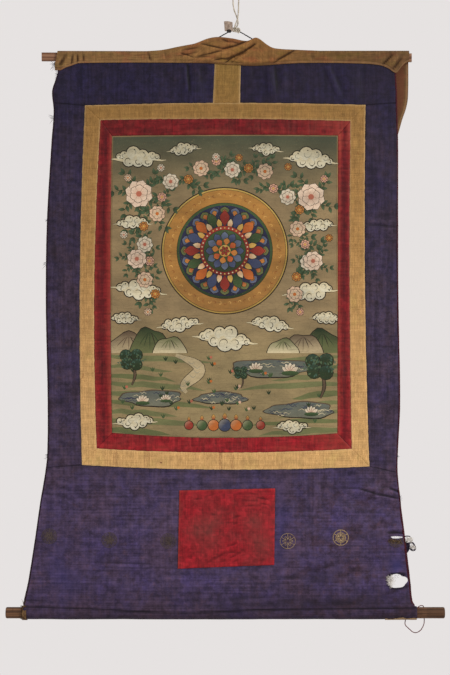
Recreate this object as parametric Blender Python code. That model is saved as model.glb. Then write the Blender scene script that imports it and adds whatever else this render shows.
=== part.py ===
"""A hanging scroll painting in its sewn silk mount, with its veil, batten, rod and cords.

Metres, +Z up, the front faces -Y.  The origin is where the hanging string bears on its nail.
A "drop" is a distance below that point, so a point with a drop of 0.3 lies at z = -0.3.
Cloth is built from a grid of points on its middle surface, thickened to a closed solid.
"""
import math
from typing import NamedTuple

import bmesh
import bpy
from mathutils import Vector

# ---------------------------------------------------------------- thicknesses and clearances
CLOTH = 0.0012                # silk panels, borders and painted cloth
VEIL_CLOTH = 0.0010
SEAM_GAP = 0.0003             # between two pieces sewn edge to edge
MITRE_GAP = 0.0004            # the same, measured along a strip whose end is cut at 45 degrees
PATCH_LIFT = 0.0006           # clearance behind the patch sewn on the lower panel
EDGING_WIDTH = 0.0034
EDGING_THICK = 0.0016

# ---------------------------------------------------------------- batten and rod
BATTEN_LEFT = -0.3888
BATTEN_RIGHT = 0.3516
BATTEN_DROP = 0.1300          # of its centre line, straight below the nail
BATTEN_TILT = 0.0024          # extra drop for each metre to the right
BATTEN_HEIGHT = 0.0168
BATTEN_DEPTH = 0.0100         # from y = 0 back to the wall
BATTEN_ROUND = 0.0015
BATTEN_ROUND_STEPS = 2
ROD_LEFT = -0.4600
ROD_RIGHT = 0.4170
ROD_DROP = 1.2414
ROD_RADIUS = 0.0112
ROD_CHAMFER = 0.0016
ROD_SIDES = 32

SLEEVE_OFFSET = SEAM_GAP + CLOTH / 2          # batten face to the middle of its sleeve
SLEEVE_HEM = 0.0008                           # y where that sleeve's turned end stops
ROD_SLEEVE_RADIUS = ROD_RADIUS + 0.0007 + CLOTH / 2
ROD_SLEEVE_SWEEP = math.radians(330)          # front, under, behind and over the rod
BATTEN_HALF = BATTEN_HEIGHT / 2

# ---------------------------------------------------------------- outline of the mount
# Its two long edges, from the batten down to the rod's sleeve.
EDGE_ROWS = [
    # drop,   left,    right
    (0.1300, -0.3580, 0.3210),
    (0.1440, -0.3635, 0.3205),
    (0.1560, -0.3565, 0.3200),
    (0.1760, -0.3610, 0.3205),
    (0.2000, -0.3675, 0.3220),
    (0.2380, -0.3645, 0.3225),
    (0.3000, -0.3690, 0.3240),
    (0.4600, -0.3780, 0.3240),
    (0.6200, -0.3800, 0.3245),
    (0.8200, -0.3760, 0.3275),
    (0.9200, -0.3765, 0.3230),
    (0.9600, -0.3805, 0.3225),
    (1.0200, -0.3905, 0.3285),
    (1.1000, -0.4020, 0.3385),
    (1.1800, -0.4150, 0.3480),
    (1.2160, -0.4230, 0.3520),
    (1.2300, -0.4240, 0.3600),
    (1.2560, -0.4240, 0.3610),
]
LEFT, RIGHT = 1, 2            # columns of EDGE_ROWS
EDGING_TOP = 0.1400
EDGING_BOTTOM = 1.2255
EDGING_FADE = 0.0050          # below the edging the cloth reaches the full edge again
EDGING_STEP = 0.0020          # least spacing of its rings


class Contour(NamedTuple):
    """A sewn outline: corners as (x, drop), and how far the middle of each side bows outwards."""
    top_left: tuple
    top_right: tuple
    bottom_right: tuple
    bottom_left: tuple
    bow_left: float
    bow_right: float
    bow_top: float
    bow_bottom: float


YELLOW_OUTER = Contour((-0.302, 0.227), (0.259, 0.226), (0.266, 0.948), (-0.307, 0.945),
                       0.0075, -0.0050, 0.0045, 0.0080)
YELLOW_INNER = Contour((-0.271, 0.256), (0.229, 0.258), (0.231, 0.913), (-0.278, 0.912),
                       0.0085, -0.0030, 0.0030, 0.0080)
PAINTING_EDGE = Contour((-0.248, 0.288), (0.204, 0.287), (0.202, 0.882), (-0.247, 0.881),
                        0.0030, 0.0000, 0.0015, 0.0095)

# Where the two cross seams of the mount meet its long edges.
TOP_SEAM_LEFT, TOP_SEAM_RIGHT = 0.2225, 0.2220
LOWER_SEAM_LEFT, LOWER_SEAM_RIGHT = 0.9500, 0.9600

STRIP_ROWS = [
    # drop,   left,    right          the yellow strip between the two top panels
    (0.1300, -0.0420, 0.0100),
    (0.2220, -0.0460, 0.0080),
]
TOP_PANEL_ROWS = (0.0, 0.09, 0.18, 0.32, 0.50, 0.74, 1.0)      # shares of the way to the seam
LOWER_FLAT_END = 1.2160       # the lower panel's even rows stop here
LOWER_HEM_ROWS = (1.2225, 1.2262, 1.2315, ROD_DROP)            # drops of its last rows above the turn
DOOR_CORNERS = ((-0.113, 0.996), (0.078, 0.992), (0.076, 1.144), (-0.116, 1.152))

# Columns and rows of each piece's grid.
PAINTING_STEPS = (10, 14)
BORDER_STEPS = (2, 12)        # across and along a border strip
SIDE_STEPS = (3, 16)
DOOR_STEPS = (7, 6)
TOP_COLUMNS, STRIP_COLUMNS = 12, 2
LOWER_STEPS = (24, 14)
LOWER_TURN_ROWS = 14          # round the rod
EDGE_PASSES = 3               # a point's x and drop depend on each other and settle in a few passes


# ---------------------------------------------------------------- folds
class Fold(NamedTuple):
    """A soft ridge along a straight line on a cloth; a negative height is a trough."""
    x0: float
    drop0: float
    x1: float
    drop1: float
    width: float
    height: float


MOUNT_FOLDS = [
    Fold(-0.052, 0.160, -0.056, 0.206, 0.012, -0.0024),     # puckers under the batten
    Fold(-0.084, 0.160, -0.090, 0.200, 0.014, 0.0018),
    Fold(0.070, 0.158, 0.074, 0.200, 0.013, 0.0018),
    Fold(0.104, 0.158, 0.108, 0.196, 0.013, -0.0016),
    Fold(0.230, 0.160, 0.236, 0.205, 0.016, 0.0016),
    Fold(-0.356, 0.200, -0.352, 0.232, 0.020, 0.0040),      # loose corner of the left edge
    Fold(0.262, 0.472, 0.322, 0.470, 0.016, 0.0018),        # creases of the right side panel
    Fold(0.262, 0.708, 0.322, 0.712, 0.016, -0.0018),
    Fold(0.214, 0.990, 0.326, 1.010, 0.013, 0.0034),        # double pleat of the lower panel
    Fold(0.240, 1.018, 0.326, 1.034, 0.014, -0.0022),
    Fold(-0.380, 1.084, 0.320, 1.090, 0.024, 0.0016),       # rolls across the lower panel
    Fold(-0.390, 1.156, 0.300, 1.160, 0.022, -0.0018),
    Fold(-0.290, 1.140, -0.128, 1.150, 0.016, 0.0016),
]


class Wave(NamedTuple):
    """A slow swell over the whole mount."""
    height: float
    cycles_x: float           # per metre
    cycles_drop: float
    phase: float


MOUNT_WAVES = [
    Wave(0.0012, 1.9, 0.7, 0.4),
    Wave(0.0007, 0.8, 2.3, 2.1),
    Wave(0.0005, 4.1, 1.3, 4.0),
]
WAVE_START, WAVE_FULL = 0.146, 0.176          # the batten and the rod hold the cloth straight
WAVE_LAST, WAVE_END = 1.180, 1.225

# ---------------------------------------------------------------- tears in the lower panel
TEAR_SIDES = 14
TEAR_REACH = 0.0120           # how far a cutter reaches before and behind the cloth
TEARS = [
    # name,      x,      drop,   half width, half height, raggedness
    ("hole_cut", 0.3210, 1.1760, 0.0190, 0.0145, 0.09),
    ("slit_cut", 0.3200, 1.0890, 0.0120, 0.0030, 0.05),
]

# ---------------------------------------------------------------- veil
VEIL_STANDOFF = 0.0027        # batten face to the veil's middle surface
VEIL_FRONT_OFFSET = 0.0020    # mount's middle surface to the veil's, below the batten
VEIL_BACK_LAYER = -0.0012     # y of the hump's rear layer
HUMP_BULGE = 0.0026           # how far the hump's front layer swells towards the viewer
HUMP_FULL = 0.0070            # a hump at least this high has its own rear layer
HUMP_FILLET = 0.0016
VEIL_SEWN = 0.0080            # the band above its lower edge where the pleats fade in
VEIL_EDGE_ROWS = [
    # x,      drop of the front lower edge
    (-0.350, 0.1570),
    (-0.340, 0.1515),
    (-0.330, 0.1480),
    (-0.312, 0.1425),
    (-0.070, 0.1425),
    (0.000, 0.1465),
    (0.038, 0.1480),
    (0.128, 0.1425),
    (0.250, 0.1435),
    (0.288, 0.1470),
    (0.304, 0.1530),
    (0.320, 0.1620),
    (0.330, 0.1510),
    (0.338, 0.1430),
    (0.346, 0.1400),
]
VEIL_CREST_ROWS = [
    # x,      drop of the top outline of the hump
    (-0.180, 0.1180),
    (-0.152, 0.1160),
    (-0.132, 0.1130),
    (-0.102, 0.1074),
    (-0.082, 0.1035),
    (-0.056, 0.0936),
    (-0.036, 0.0906),
    (-0.008, 0.0934),
    (0.022, 0.0984),
    (0.041, 0.0920),
    (0.062, 0.1060),
    (0.072, 0.1116),
    (0.088, 0.1138),
    (0.118, 0.1152),
    (0.168, 0.1172),
]
VEIL_SPANS = [
    # x start, x end, columns
    (-0.350, -0.160, 8),
    (-0.160, 0.100, 20),
    (0.100, 0.346, 9),
]
VEIL_FOLDS = [
    Fold(-0.180, 0.136, -0.030, 0.124, 0.007, 0.0010),      # long shallow pleats at the left
    Fold(-0.066, 0.107, -0.030, 0.116, 0.006, -0.0016),     # valleys between the bunched rolls
    Fold(-0.030, 0.116, 0.020, 0.100, 0.006, -0.0020),
    Fold(-0.090, 0.130, 0.030, 0.100, 0.008, 0.0020),       # the main roll, rising to the right
    Fold(-0.008, 0.135, 0.050, 0.103, 0.006, -0.0020),
    Fold(0.030, 0.130, 0.060, 0.112, 0.012, 0.0014),
    Fold(0.072, 0.142, 0.114, 0.120, 0.005, -0.0014),
    Fold(0.296, 0.150, 0.316, 0.128, 0.006, 0.0014),        # turned corner at the right end
]
TAIL_DROP = 0.500             # lowest drop of the part that hangs behind
TAIL_HEM_SAG = 0.012          # how much lower its hem hangs at the middle
TAIL_NARROW = (0.20, 1.60)    # its width shrinks by 0.20 d + 1.60 d^2, d metres below the batten
TAIL_FOLD_COUNT = 7
TAIL_FOLD_HEIGHT = 0.0026
VEIL_ROWS = {"front": 6, "crest": 3, "rear": 2, "fillet": 1, "top": 1, "corner": 3, "tail": 8}

# ---------------------------------------------------------------- cords, as (x, y, drop)
HANGER_DIAMETER = 0.0022
HANGER_ROUTE = [
    (-0.0828, 0.0050, 0.1168), (-0.0780, 0.0048, 0.1142), (-0.0600, 0.0036, 0.1044),
    (-0.0360, 0.0018, 0.0914), (-0.0200, 0.0006, 0.0827), (-0.0110, 0.0001, 0.0778),
    (-0.0075, 0.0000, 0.0762), (-0.0030, 0.0000, 0.0751), (0.0015, 0.0000, 0.0760),
    (0.0050, 0.0001, 0.0780), (0.0140, 0.0006, 0.0831), (0.0352, 0.0018, 0.0952),
    (0.0540, 0.0034, 0.1060), (0.0690, 0.0046, 0.1145), (0.0737, 0.0050, 0.1172),
]
STRING_DIAMETER = 0.0028
STRING_ROUTE = [
    (0.0012, 0.0016, 0.0701), (0.0034, 0.0018, 0.0650), (0.0040, 0.0018, 0.0590),
    (0.0026, 0.0018, 0.0520), (-0.0006, 0.0014, 0.0440), (-0.0036, 0.0008, 0.0360),
    (-0.0054, 0.0003, 0.0270), (-0.0060, 0.0000, 0.0170), (-0.0058, 0.0000, 0.0085),
    (-0.0042, 0.0000, 0.0020), (0.0000, 0.0000, -0.0014), (0.0042, 0.0000, 0.0020),
    (0.0056, 0.0000, 0.0085), (0.0054, -0.0004, 0.0170), (0.0051, -0.0010, 0.0270),
    (0.0049, -0.0015, 0.0360), (0.0042, -0.0018, 0.0460), (0.0026, -0.0018, 0.0550),
    (-0.0002, -0.0018, 0.0630), (-0.0024, -0.0018, 0.0701),
]
TIE_DIAMETER = 0.0018
TIE_ROUTE = [
    (0.3622, -0.0070, 1.2309), (0.3645, -0.0055, 1.2285), (0.3682, -0.0028, 1.2270),
    (0.3725, 0.0020, 1.2276), (0.3758, 0.0082, 1.2302), (0.3770, 0.0128, 1.2380),
    (0.3773, 0.0124, 1.2470), (0.3774, 0.0080, 1.2548), (0.3764, 0.0030, 1.2630),
    (0.3736, 0.0010, 1.2700), (0.3690, 0.0000, 1.2764), (0.3620, 0.0000, 1.2808),
    (0.3545, 0.0000, 1.2804), (0.3465, 0.0008, 1.2740), (0.3392, 0.0020, 1.2668),
    (0.3384, 0.0034, 1.2610), (0.3400, 0.0080, 1.2560), (0.3410, 0.0130, 1.2500),
    (0.3412, 0.0150, 1.2430), (0.3412, 0.0148, 1.2380),
]
CORD_BEVEL_RESOLUTION = 2
CORD_STEP = 2.6               # spacing of a tube's points, in diameters
CURVE_STEPS = 12              # samples between two points of a route
CURVE_HANDLE = 1 / 6          # handle length of the smooth curve, as a share of the neighbours' span

# The knot: turns of string wound round the cord where it peaks.
KNOT_CENTRE = (-0.0020, 0.0000, 0.0756)       # x, y, drop
KNOT_BORE = 0.0021
KNOT_TURN = 0.0014            # radius of one turn's ridge
KNOT_TURNS = 3
KNOT_SIDES = 14
KNOT_ARC = (150, 120, 90, 60, 30)             # degrees round the outside of one turn
KNOT_LIP = 0.0004             # from the last turn's ridge in to the bore
TAPE_CORNERS = ((-0.0240, 0.0600), (-0.0068, 0.0610), (-0.0067, 0.0800), (-0.0225, 0.0790))
TAPE_DEPTH = -0.0042
TAPE_CURL = 0.0016
TAPE_CLOTH = 0.0010
TAPE_STEPS = 4

# ---------------------------------------------------------------- finish of each material
FINISHES = {
    # name:          (red, green, blue, roughness)
    "blue_silk": (0.045, 0.034, 0.076, 0.62),
    "yellow_brocade": (0.370, 0.215, 0.082, 0.70),
    "red_silk": (0.170, 0.020, 0.022, 0.50),
    "painted_cloth": (0.215, 0.160, 0.088, 0.80),
    "maroon_edging": (0.060, 0.014, 0.018, 0.70),
    "veil_silk": (0.175, 0.090, 0.036, 0.60),
    "batten_wood": (0.230, 0.120, 0.062, 0.60),
    "rod_wood": (0.120, 0.062, 0.034, 0.50),
    "dark_cord": (0.012, 0.011, 0.011, 0.70),
    "cream_string": (0.520, 0.450, 0.360, 0.80),
    "maroon_cord": (0.060, 0.020, 0.024, 0.70),
}


# ================================================================ helpers
def clear_scene():
    """Remove every object of the opened file."""
    for obj in list(bpy.data.objects):
        bpy.data.objects.remove(obj, do_unlink=True)


def lerp(a, b, t):
    return a + (b - a) * t


def lerp_point(a, b, t):
    return tuple(lerp(p, q, t) for p, q in zip(a, b))


def smoothstep(low, high, value):
    t = min(max((value - low) / (high - low), 0.0), 1.0)
    return t * t * (3.0 - 2.0 * t)


def spaced(start, end, count):
    """count + 1 evenly spaced values from start to end."""
    return [lerp(start, end, i / count) for i in range(count + 1)]


def read_table(rows, key, column=1):
    """Value of one column at a key, on a smooth curve through the table's rows."""
    if key <= rows[0][0]:
        return rows[0][column]
    if key >= rows[-1][0]:
        return rows[-1][column]
    i = max(n for n in range(len(rows) - 1) if rows[n][0] <= key)

    def slope(n):
        low, high = max(n - 1, 0), min(n + 1, len(rows) - 1)
        return (rows[high][column] - rows[low][column]) / (rows[high][0] - rows[low][0])

    span = rows[i + 1][0] - rows[i][0]
    t = (key - rows[i][0]) / span
    start, end = rows[i][column], rows[i + 1][column]
    return ((2 * t**3 - 3 * t**2 + 1) * start + (t**3 - 2 * t**2 + t) * span * slope(i)
            + (3 * t**2 - 2 * t**3) * end + (t**3 - t**2) * span * slope(i + 1))


def segment_distance(x, drop, fold):
    """Distance from a point to a fold's line."""
    run_x, run_drop = fold.x1 - fold.x0, fold.drop1 - fold.drop0
    t = ((x - fold.x0) * run_x + (drop - fold.drop0) * run_drop) / (run_x**2 + run_drop**2)
    t = min(max(t, 0.0), 1.0)
    return math.hypot(x - fold.x0 - t * run_x, drop - fold.drop0 - t * run_drop)


def fold_height(folds, x, drop):
    """Sum of all ridges and troughs at a point, positive towards the viewer."""
    return sum(f.height * math.exp(-(segment_distance(x, drop, f) / f.width) ** 2) for f in folds)


# ================================================================ the shape of the mount
def batten_drop(x):
    """Drop of the batten's centre line."""
    return BATTEN_DROP + BATTEN_TILT * x


def mount_depth(x, drop):
    """Y of the mount's middle surface: from the batten's face to the rod's, with soft folds."""
    start, end = BATTEN_DROP + BATTEN_HALF, ROD_DROP
    base = lerp(-SLEEVE_OFFSET, -ROD_SLEEVE_RADIUS, min(max((drop - start) / (end - start), 0.0), 1.0))
    relief = fold_height(MOUNT_FOLDS, x, drop)
    for wave in MOUNT_WAVES:
        turns = wave.cycles_x * x + wave.cycles_drop * drop
        relief += wave.height * math.sin(2 * math.pi * turns + wave.phase)
    held = smoothstep(WAVE_START, WAVE_FULL, drop) * (1 - smoothstep(WAVE_LAST, WAVE_END, drop))
    return base - relief * held


def cloth_edge(side, drop):
    """X of the silk's own long edge, inside the edging where there is one."""
    x = read_table(EDGE_ROWS, drop, side)
    covered = 1 - smoothstep(EDGING_BOTTOM + 0.001, EDGING_BOTTOM + EDGING_FADE, drop)
    inward = 1 if side == LEFT else -1
    return x + inward * (EDGING_WIDTH + SEAM_GAP) * covered


def contour_point(contour, side, t):
    """(x, drop) on one side of a contour; t runs left to right, or top to bottom."""
    bulge = 4 * t * (1 - t)
    if side == "top":
        x, drop = lerp_point(contour.top_left, contour.top_right, t)
        return x, drop - contour.bow_top * bulge
    if side == "bottom":
        x, drop = lerp_point(contour.bottom_left, contour.bottom_right, t)
        return x, drop + contour.bow_bottom * bulge
    if side == "left":
        x, drop = lerp_point(contour.top_left, contour.bottom_left, t)
        return x - contour.bow_left * bulge, drop
    x, drop = lerp_point(contour.top_right, contour.bottom_right, t)
    return x + contour.bow_right * bulge, drop


def cross_seam(x, side, left_drop, right_drop):
    """Drop of a seam across the whole mount: along the yellow border, then out to the edges."""
    left_x, left_end = YELLOW_OUTER.top_left if side == "top" else YELLOW_OUTER.bottom_left
    right_x, right_end = YELLOW_OUTER.top_right if side == "top" else YELLOW_OUTER.bottom_right
    if x < left_x:
        edge = cloth_edge(LEFT, left_drop)
        return lerp(left_drop, left_end, (x - edge) / (left_x - edge))
    if x > right_x:
        edge = cloth_edge(RIGHT, right_drop)
        return lerp(right_drop, right_end, (x - edge) / (right_x - edge))
    return contour_point(YELLOW_OUTER, side, (x - left_x) / (right_x - left_x))[1]


def top_seam(x):
    return cross_seam(x, "top", TOP_SEAM_LEFT, TOP_SEAM_RIGHT)


def lower_seam(x):
    return cross_seam(x, "bottom", LOWER_SEAM_LEFT, LOWER_SEAM_RIGHT)


# ================================================================ building objects
def finish_object(name, data, finish):
    """Link a mesh or curve as an object with a material of its own."""
    red, green, blue, roughness = FINISHES[finish]
    material = bpy.data.materials.new(name)
    material.use_nodes = True
    shader = material.node_tree.nodes["Principled BSDF"]
    shader.inputs["Base Color"].default_value = (red, green, blue, 1.0)
    shader.inputs["Roughness"].default_value = roughness
    shader.inputs["Metallic"].default_value = 0.0
    data.materials.append(material)
    obj = bpy.data.objects.new(name, data)
    bpy.context.collection.objects.link(obj)
    return obj


def mesh_object(name, bm, finish, sharp_angle=math.radians(50)):
    """Turn a closed bmesh into an object."""
    bm.normal_update()
    bmesh.ops.recalc_face_normals(bm, faces=bm.faces)
    mesh = bpy.data.meshes.new(name)
    bm.to_mesh(mesh)
    bm.free()
    mesh.shade_smooth()
    mesh.set_sharp_from_angle(angle=sharp_angle)
    return finish_object(name, mesh, finish)


def sheet_solid(name, grid, thickness, finish):
    """Closed solid of a cloth; grid[row][column] is (point, unit normal) on its middle surface."""
    bm = bmesh.new()
    front, back = ([[bm.verts.new(point + normal * offset) for point, normal in row] for row in grid]
                   for offset in (thickness / 2, -thickness / 2))
    rows, columns = len(grid), len(grid[0])
    for r in range(rows - 1):
        for c in range(columns - 1):
            bm.faces.new((front[r][c], front[r][c + 1], front[r + 1][c + 1], front[r + 1][c]))
            bm.faces.new((back[r][c], back[r + 1][c], back[r + 1][c + 1], back[r][c + 1]))
    rim = ([(0, c) for c in range(columns)] + [(r, columns - 1) for r in range(1, rows)]
           + [(rows - 1, c) for c in range(columns - 2, -1, -1)] + [(r, 0) for r in range(rows - 2, 0, -1)])
    for (r0, c0), (r1, c1) in zip(rim, rim[1:] + rim[:1]):
        bm.faces.new((front[r0][c0], back[r0][c0], back[r1][c1], front[r1][c1]))
    return mesh_object(name, bm, finish)


def flat_point(x, drop, lift=0.0):
    """Point and normal on the hanging mount, lifted towards the viewer."""
    return Vector((x, mount_depth(x, drop) - lift, -drop)), Vector((0, -1, 0))


def flat_sheet(name, surface, steps, finish, lift=0.0, inset=(SEAM_GAP, SEAM_GAP)):
    """A piece that lies in the mount; surface(u, v) gives (x, drop), steps its columns and rows."""
    width = math.dist(surface(0, 0.5), surface(1, 0.5))
    length = math.dist(surface(0.5, 0), surface(0.5, 1))
    margin_u, margin_v = inset[0] / 2 / width, inset[1] / 2 / length
    grid = [[flat_point(*surface(u, v), lift) for u in spaced(margin_u, 1 - margin_u, steps[0])]
            for v in spaced(margin_v, 1 - margin_v, steps[1])]
    sheet_solid(name, grid, CLOTH, finish)
    return grid


def grid_with_normals(points):
    """Pair each point of a grid with the surface's normal there."""
    rows, columns = len(points), len(points[0])
    grid = []
    for r in range(rows):
        line = []
        for c in range(columns):
            along = points[r][min(c + 1, columns - 1)] - points[r][max(c - 1, 0)]
            down = points[min(r + 1, rows - 1)][c] - points[max(r - 1, 0)][c]
            line.append((points[r][c], down.cross(along).normalized()))
        grid.append(line)
    return grid


# ================================================================ wood
def build_batten():
    """Flat lath with rounded corners; it hangs slightly lower at its right end."""
    bm = bmesh.new()
    bmesh.ops.create_cube(bm, size=1.0)
    length = BATTEN_RIGHT - BATTEN_LEFT
    middle = (BATTEN_LEFT + BATTEN_RIGHT) / 2
    for vert in bm.verts:
        x = middle + vert.co.x * length
        z = vert.co.z * BATTEN_HEIGHT - batten_drop(x)
        vert.co = (x, (vert.co.y + 0.5) * BATTEN_DEPTH, z)
    long_edges = [e for e in bm.edges if abs(e.verts[0].co.x - e.verts[1].co.x) > length / 2]
    bmesh.ops.bevel(bm, geom=long_edges, offset=BATTEN_ROUND, segments=BATTEN_ROUND_STEPS,
                    profile=0.5, affect="EDGES")
    mesh_object("batten", bm, "batten_wood")


def build_rod():
    """Round rod with chamfered ends, lying along X."""
    bm = bmesh.new()
    length = ROD_RIGHT - ROD_LEFT
    bmesh.ops.create_cone(bm, cap_ends=True, segments=ROD_SIDES, radius1=ROD_RADIUS,
                          radius2=ROD_RADIUS, depth=length)
    rims = [e for e in bm.edges if abs(e.verts[0].co.z - e.verts[1].co.z) < length / 2]
    bmesh.ops.bevel(bm, geom=rims, offset=ROD_CHAMFER, segments=1, profile=0.5, affect="EDGES")
    middle = (ROD_LEFT + ROD_RIGHT) / 2
    for vert in bm.verts:
        vert.co = (middle + vert.co.z, vert.co.y, -vert.co.x - ROD_DROP)
    mesh_object("rod", bm, "rod_wood", math.radians(30))


# ================================================================ pieces that lie in the mount
def build_painting():
    """The painted cloth, filling the innermost contour (a Coons patch of its four sides)."""
    edge = PAINTING_EDGE

    def surface(u, v):
        left, right = contour_point(edge, "left", v), contour_point(edge, "right", v)
        top, bottom = contour_point(edge, "top", u), contour_point(edge, "bottom", u)
        ruled = [lerp(left[k], right[k], u) + lerp(top[k], bottom[k], v) for k in (0, 1)]
        upper = lerp_point(edge.top_left, edge.top_right, u)
        lower = lerp_point(edge.bottom_left, edge.bottom_right, u)
        return tuple(ruled[k] - lerp(upper[k], lower[k], v) for k in (0, 1))

    flat_sheet("painting", surface, PAINTING_STEPS, "painted_cloth")


def build_borders():
    """Two nested borders, each of four strips mitred at the corners."""
    rings = [("yellow", YELLOW_OUTER, YELLOW_INNER, "yellow_brocade"),
             ("red", YELLOW_INNER, PAINTING_EDGE, "red_silk")]
    across_steps, along_steps = BORDER_STEPS
    for colour, outer, inner, finish in rings:
        for side in ("top", "bottom"):
            def level_strip(u, v, side=side, outer=outer, inner=inner):
                return lerp_point(contour_point(outer, side, u), contour_point(inner, side, u), v)

            flat_sheet(f"{colour}_{side}", level_strip, (along_steps, across_steps), finish,
                       inset=(MITRE_GAP, SEAM_GAP))
        for side in ("left", "right"):
            def upright_strip(u, v, side=side, outer=outer, inner=inner):
                return lerp_point(contour_point(outer, side, v), contour_point(inner, side, v), u)

            flat_sheet(f"{colour}_{side}", upright_strip, (across_steps, along_steps), finish,
                       inset=(SEAM_GAP, MITRE_GAP))


def build_side_panels(edge_drops):
    """Long blue panels beside the borders; edge_drops collects the drops of their outer rows."""
    seams = {LEFT: (TOP_SEAM_LEFT, LOWER_SEAM_LEFT), RIGHT: (TOP_SEAM_RIGHT, LOWER_SEAM_RIGHT)}
    for side, word in ((LEFT, "left"), (RIGHT, "right")):
        def surface(u, v, side=side, word=word):
            drop = lerp(*seams[side], v)
            outer = (cloth_edge(side, drop), drop)
            inner = contour_point(YELLOW_OUTER, word, v)
            return lerp_point(outer, inner, u if side == LEFT else 1 - u)

        grid = flat_sheet(f"blue_side_{word}", surface, SIDE_STEPS, "blue_silk")
        outer_column = 0 if side == LEFT else -1
        edge_drops[side] += [-row[outer_column][0].z for row in grid]


def build_door_patch():
    """Crimson patch sewn on the front of the lower panel."""
    top_left, top_right, bottom_right, bottom_left = DOOR_CORNERS

    def surface(u, v):
        return lerp_point(lerp_point(top_left, top_right, u), lerp_point(bottom_left, bottom_right, u), v)

    flat_sheet("door_patch", surface, DOOR_STEPS, "red_silk", lift=CLOTH + PATCH_LIFT)


def build_edging(edge_drops):
    """Narrow bindings outside the silk's long edges, of a flattened six-sided section."""
    half_width, half_thick = EDGING_WIDTH / 2, EDGING_THICK / 2
    section = [(-half_width, 0), (-half_width / 2, -half_thick), (half_width / 2, -half_thick),
               (half_width, 0), (half_width / 2, half_thick), (-half_width / 2, half_thick)]
    for side, word in ((LEFT, "left"), (RIGHT, "right")):
        drops = [EDGING_TOP]
        for drop in sorted(edge_drops[side]):
            if drops[-1] + EDGING_STEP < drop < EDGING_BOTTOM - EDGING_STEP:
                drops.append(drop)
        drops.append(EDGING_BOTTOM)
        inward = 1 if side == LEFT else -1
        bm = bmesh.new()
        rings = []
        for drop in drops:
            x = read_table(EDGE_ROWS, drop, side) + inward * half_width
            y = mount_depth(x, drop)
            rings.append([bm.verts.new((x + dx, y + dy, -drop)) for dx, dy in section])
        for upper, lower in zip(rings, rings[1:]):
            for k in range(len(section)):
                following = (k + 1) % len(section)
                bm.faces.new((upper[k], upper[following], lower[following], lower[k]))
        bm.faces.new(rings[0])
        bm.faces.new(rings[-1])
        mesh_object(f"edging_{word}", bm, "maroon_edging")


# ================================================================ panels with a sleeve
def batten_wrap():
    """Sleeve round the batten: (y, drop from the batten's centre, normal y, normal drop)."""
    reach = BATTEN_ROUND + SLEEVE_OFFSET
    arc = [math.radians(a) for a in (0, 45, 90)]
    stations = [(SLEEVE_HEM, BATTEN_HALF + SLEEVE_OFFSET, 0.0, 1.0)]
    corners = [(BATTEN_DEPTH - BATTEN_ROUND, BATTEN_HALF - BATTEN_ROUND, 90),
               (BATTEN_DEPTH - BATTEN_ROUND, BATTEN_ROUND - BATTEN_HALF, 0),
               (BATTEN_ROUND, BATTEN_ROUND - BATTEN_HALF, -90)]
    for y, drop, start in corners:
        for turn in arc:
            angle = math.radians(start) - turn
            stations.append((y + reach * math.cos(angle), drop + reach * math.sin(angle),
                             math.cos(angle), math.sin(angle)))
    return stations


def build_top_panel(name, left_x, right_x, columns, finish):
    """A panel of the mount's top with its sleeve; left_x and right_x give its sides by drop."""
    wrap = batten_wrap()
    grid = []
    for y, offset, normal_y, normal_drop in wrap:
        row = []
        for u in spaced(0, 1, columns):
            x = lerp(left_x(BATTEN_DROP), right_x(BATTEN_DROP), u)
            point = Vector((x, y, -(batten_drop(x) + offset)))
            row.append((point, Vector((0, normal_y, -normal_drop))))
        grid.append(row)
    drops = []
    for v in TOP_PANEL_ROWS:
        row = []
        for u in spaced(0, 1, columns):
            drop = lerp(batten_drop(0) + BATTEN_HALF, top_seam(0), v)
            for _ in range(EDGE_PASSES):
                x = lerp(left_x(drop), right_x(drop), u)
                drop = lerp(batten_drop(x) + BATTEN_HALF, top_seam(x) - SEAM_GAP / 2, v)
            row.append(flat_point(x, drop))
        grid.append(row)
        drops.append((-row[0][0].z, -row[-1][0].z))
    sheet_solid(name, grid, CLOTH, finish)
    return drops


def build_top_panels(edge_drops):
    """Two blue panels and the yellow strip between them, side by side on the batten."""
    half_gap = SEAM_GAP / 2

    def strip_left(drop):
        return read_table(STRIP_ROWS, drop, LEFT)

    def strip_right(drop):
        return read_table(STRIP_ROWS, drop, RIGHT)

    left = build_top_panel("blue_top_left", lambda d: cloth_edge(LEFT, d),
                           lambda d: strip_left(d) - half_gap, TOP_COLUMNS, "blue_silk")
    build_top_panel("centre_strip", lambda d: strip_left(d) + half_gap,
                    lambda d: strip_right(d) - half_gap, STRIP_COLUMNS, "yellow_brocade")
    right = build_top_panel("blue_top_right", lambda d: strip_right(d) + half_gap,
                            lambda d: cloth_edge(RIGHT, d), TOP_COLUMNS, "blue_silk")
    edge_drops[LEFT] += [row[0] for row in left]
    edge_drops[RIGHT] += [row[1] for row in right]


def tear_cutter(name, x, drop, half_width, half_height, raggedness):
    """Ragged prism that cuts a tear through the cloth."""
    bm = bmesh.new()
    outline = []
    for k in range(TEAR_SIDES):
        angle = 2 * math.pi * k / TEAR_SIDES
        reach = 1 + raggedness * math.sin(3 * angle + 1.0) + raggedness * math.sin(5 * angle)
        outline.append((x + half_width * reach * math.cos(angle),
                        -drop + half_height * reach * math.sin(angle)))
    middle = mount_depth(x, drop)
    near = [bm.verts.new((px, middle - TEAR_REACH, pz)) for px, pz in outline]
    far = [bm.verts.new((px, middle + TEAR_REACH, pz)) for px, pz in outline]
    for k in range(TEAR_SIDES):
        following = (k + 1) % TEAR_SIDES
        bm.faces.new((near[k], near[following], far[following], far[k]))
    bm.faces.new(near)
    bm.faces.new(far)
    cutter = mesh_object(name, bm, "blue_silk")
    cutter.hide_render = True
    cutter.display_type = "WIRE"
    return cutter


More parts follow.
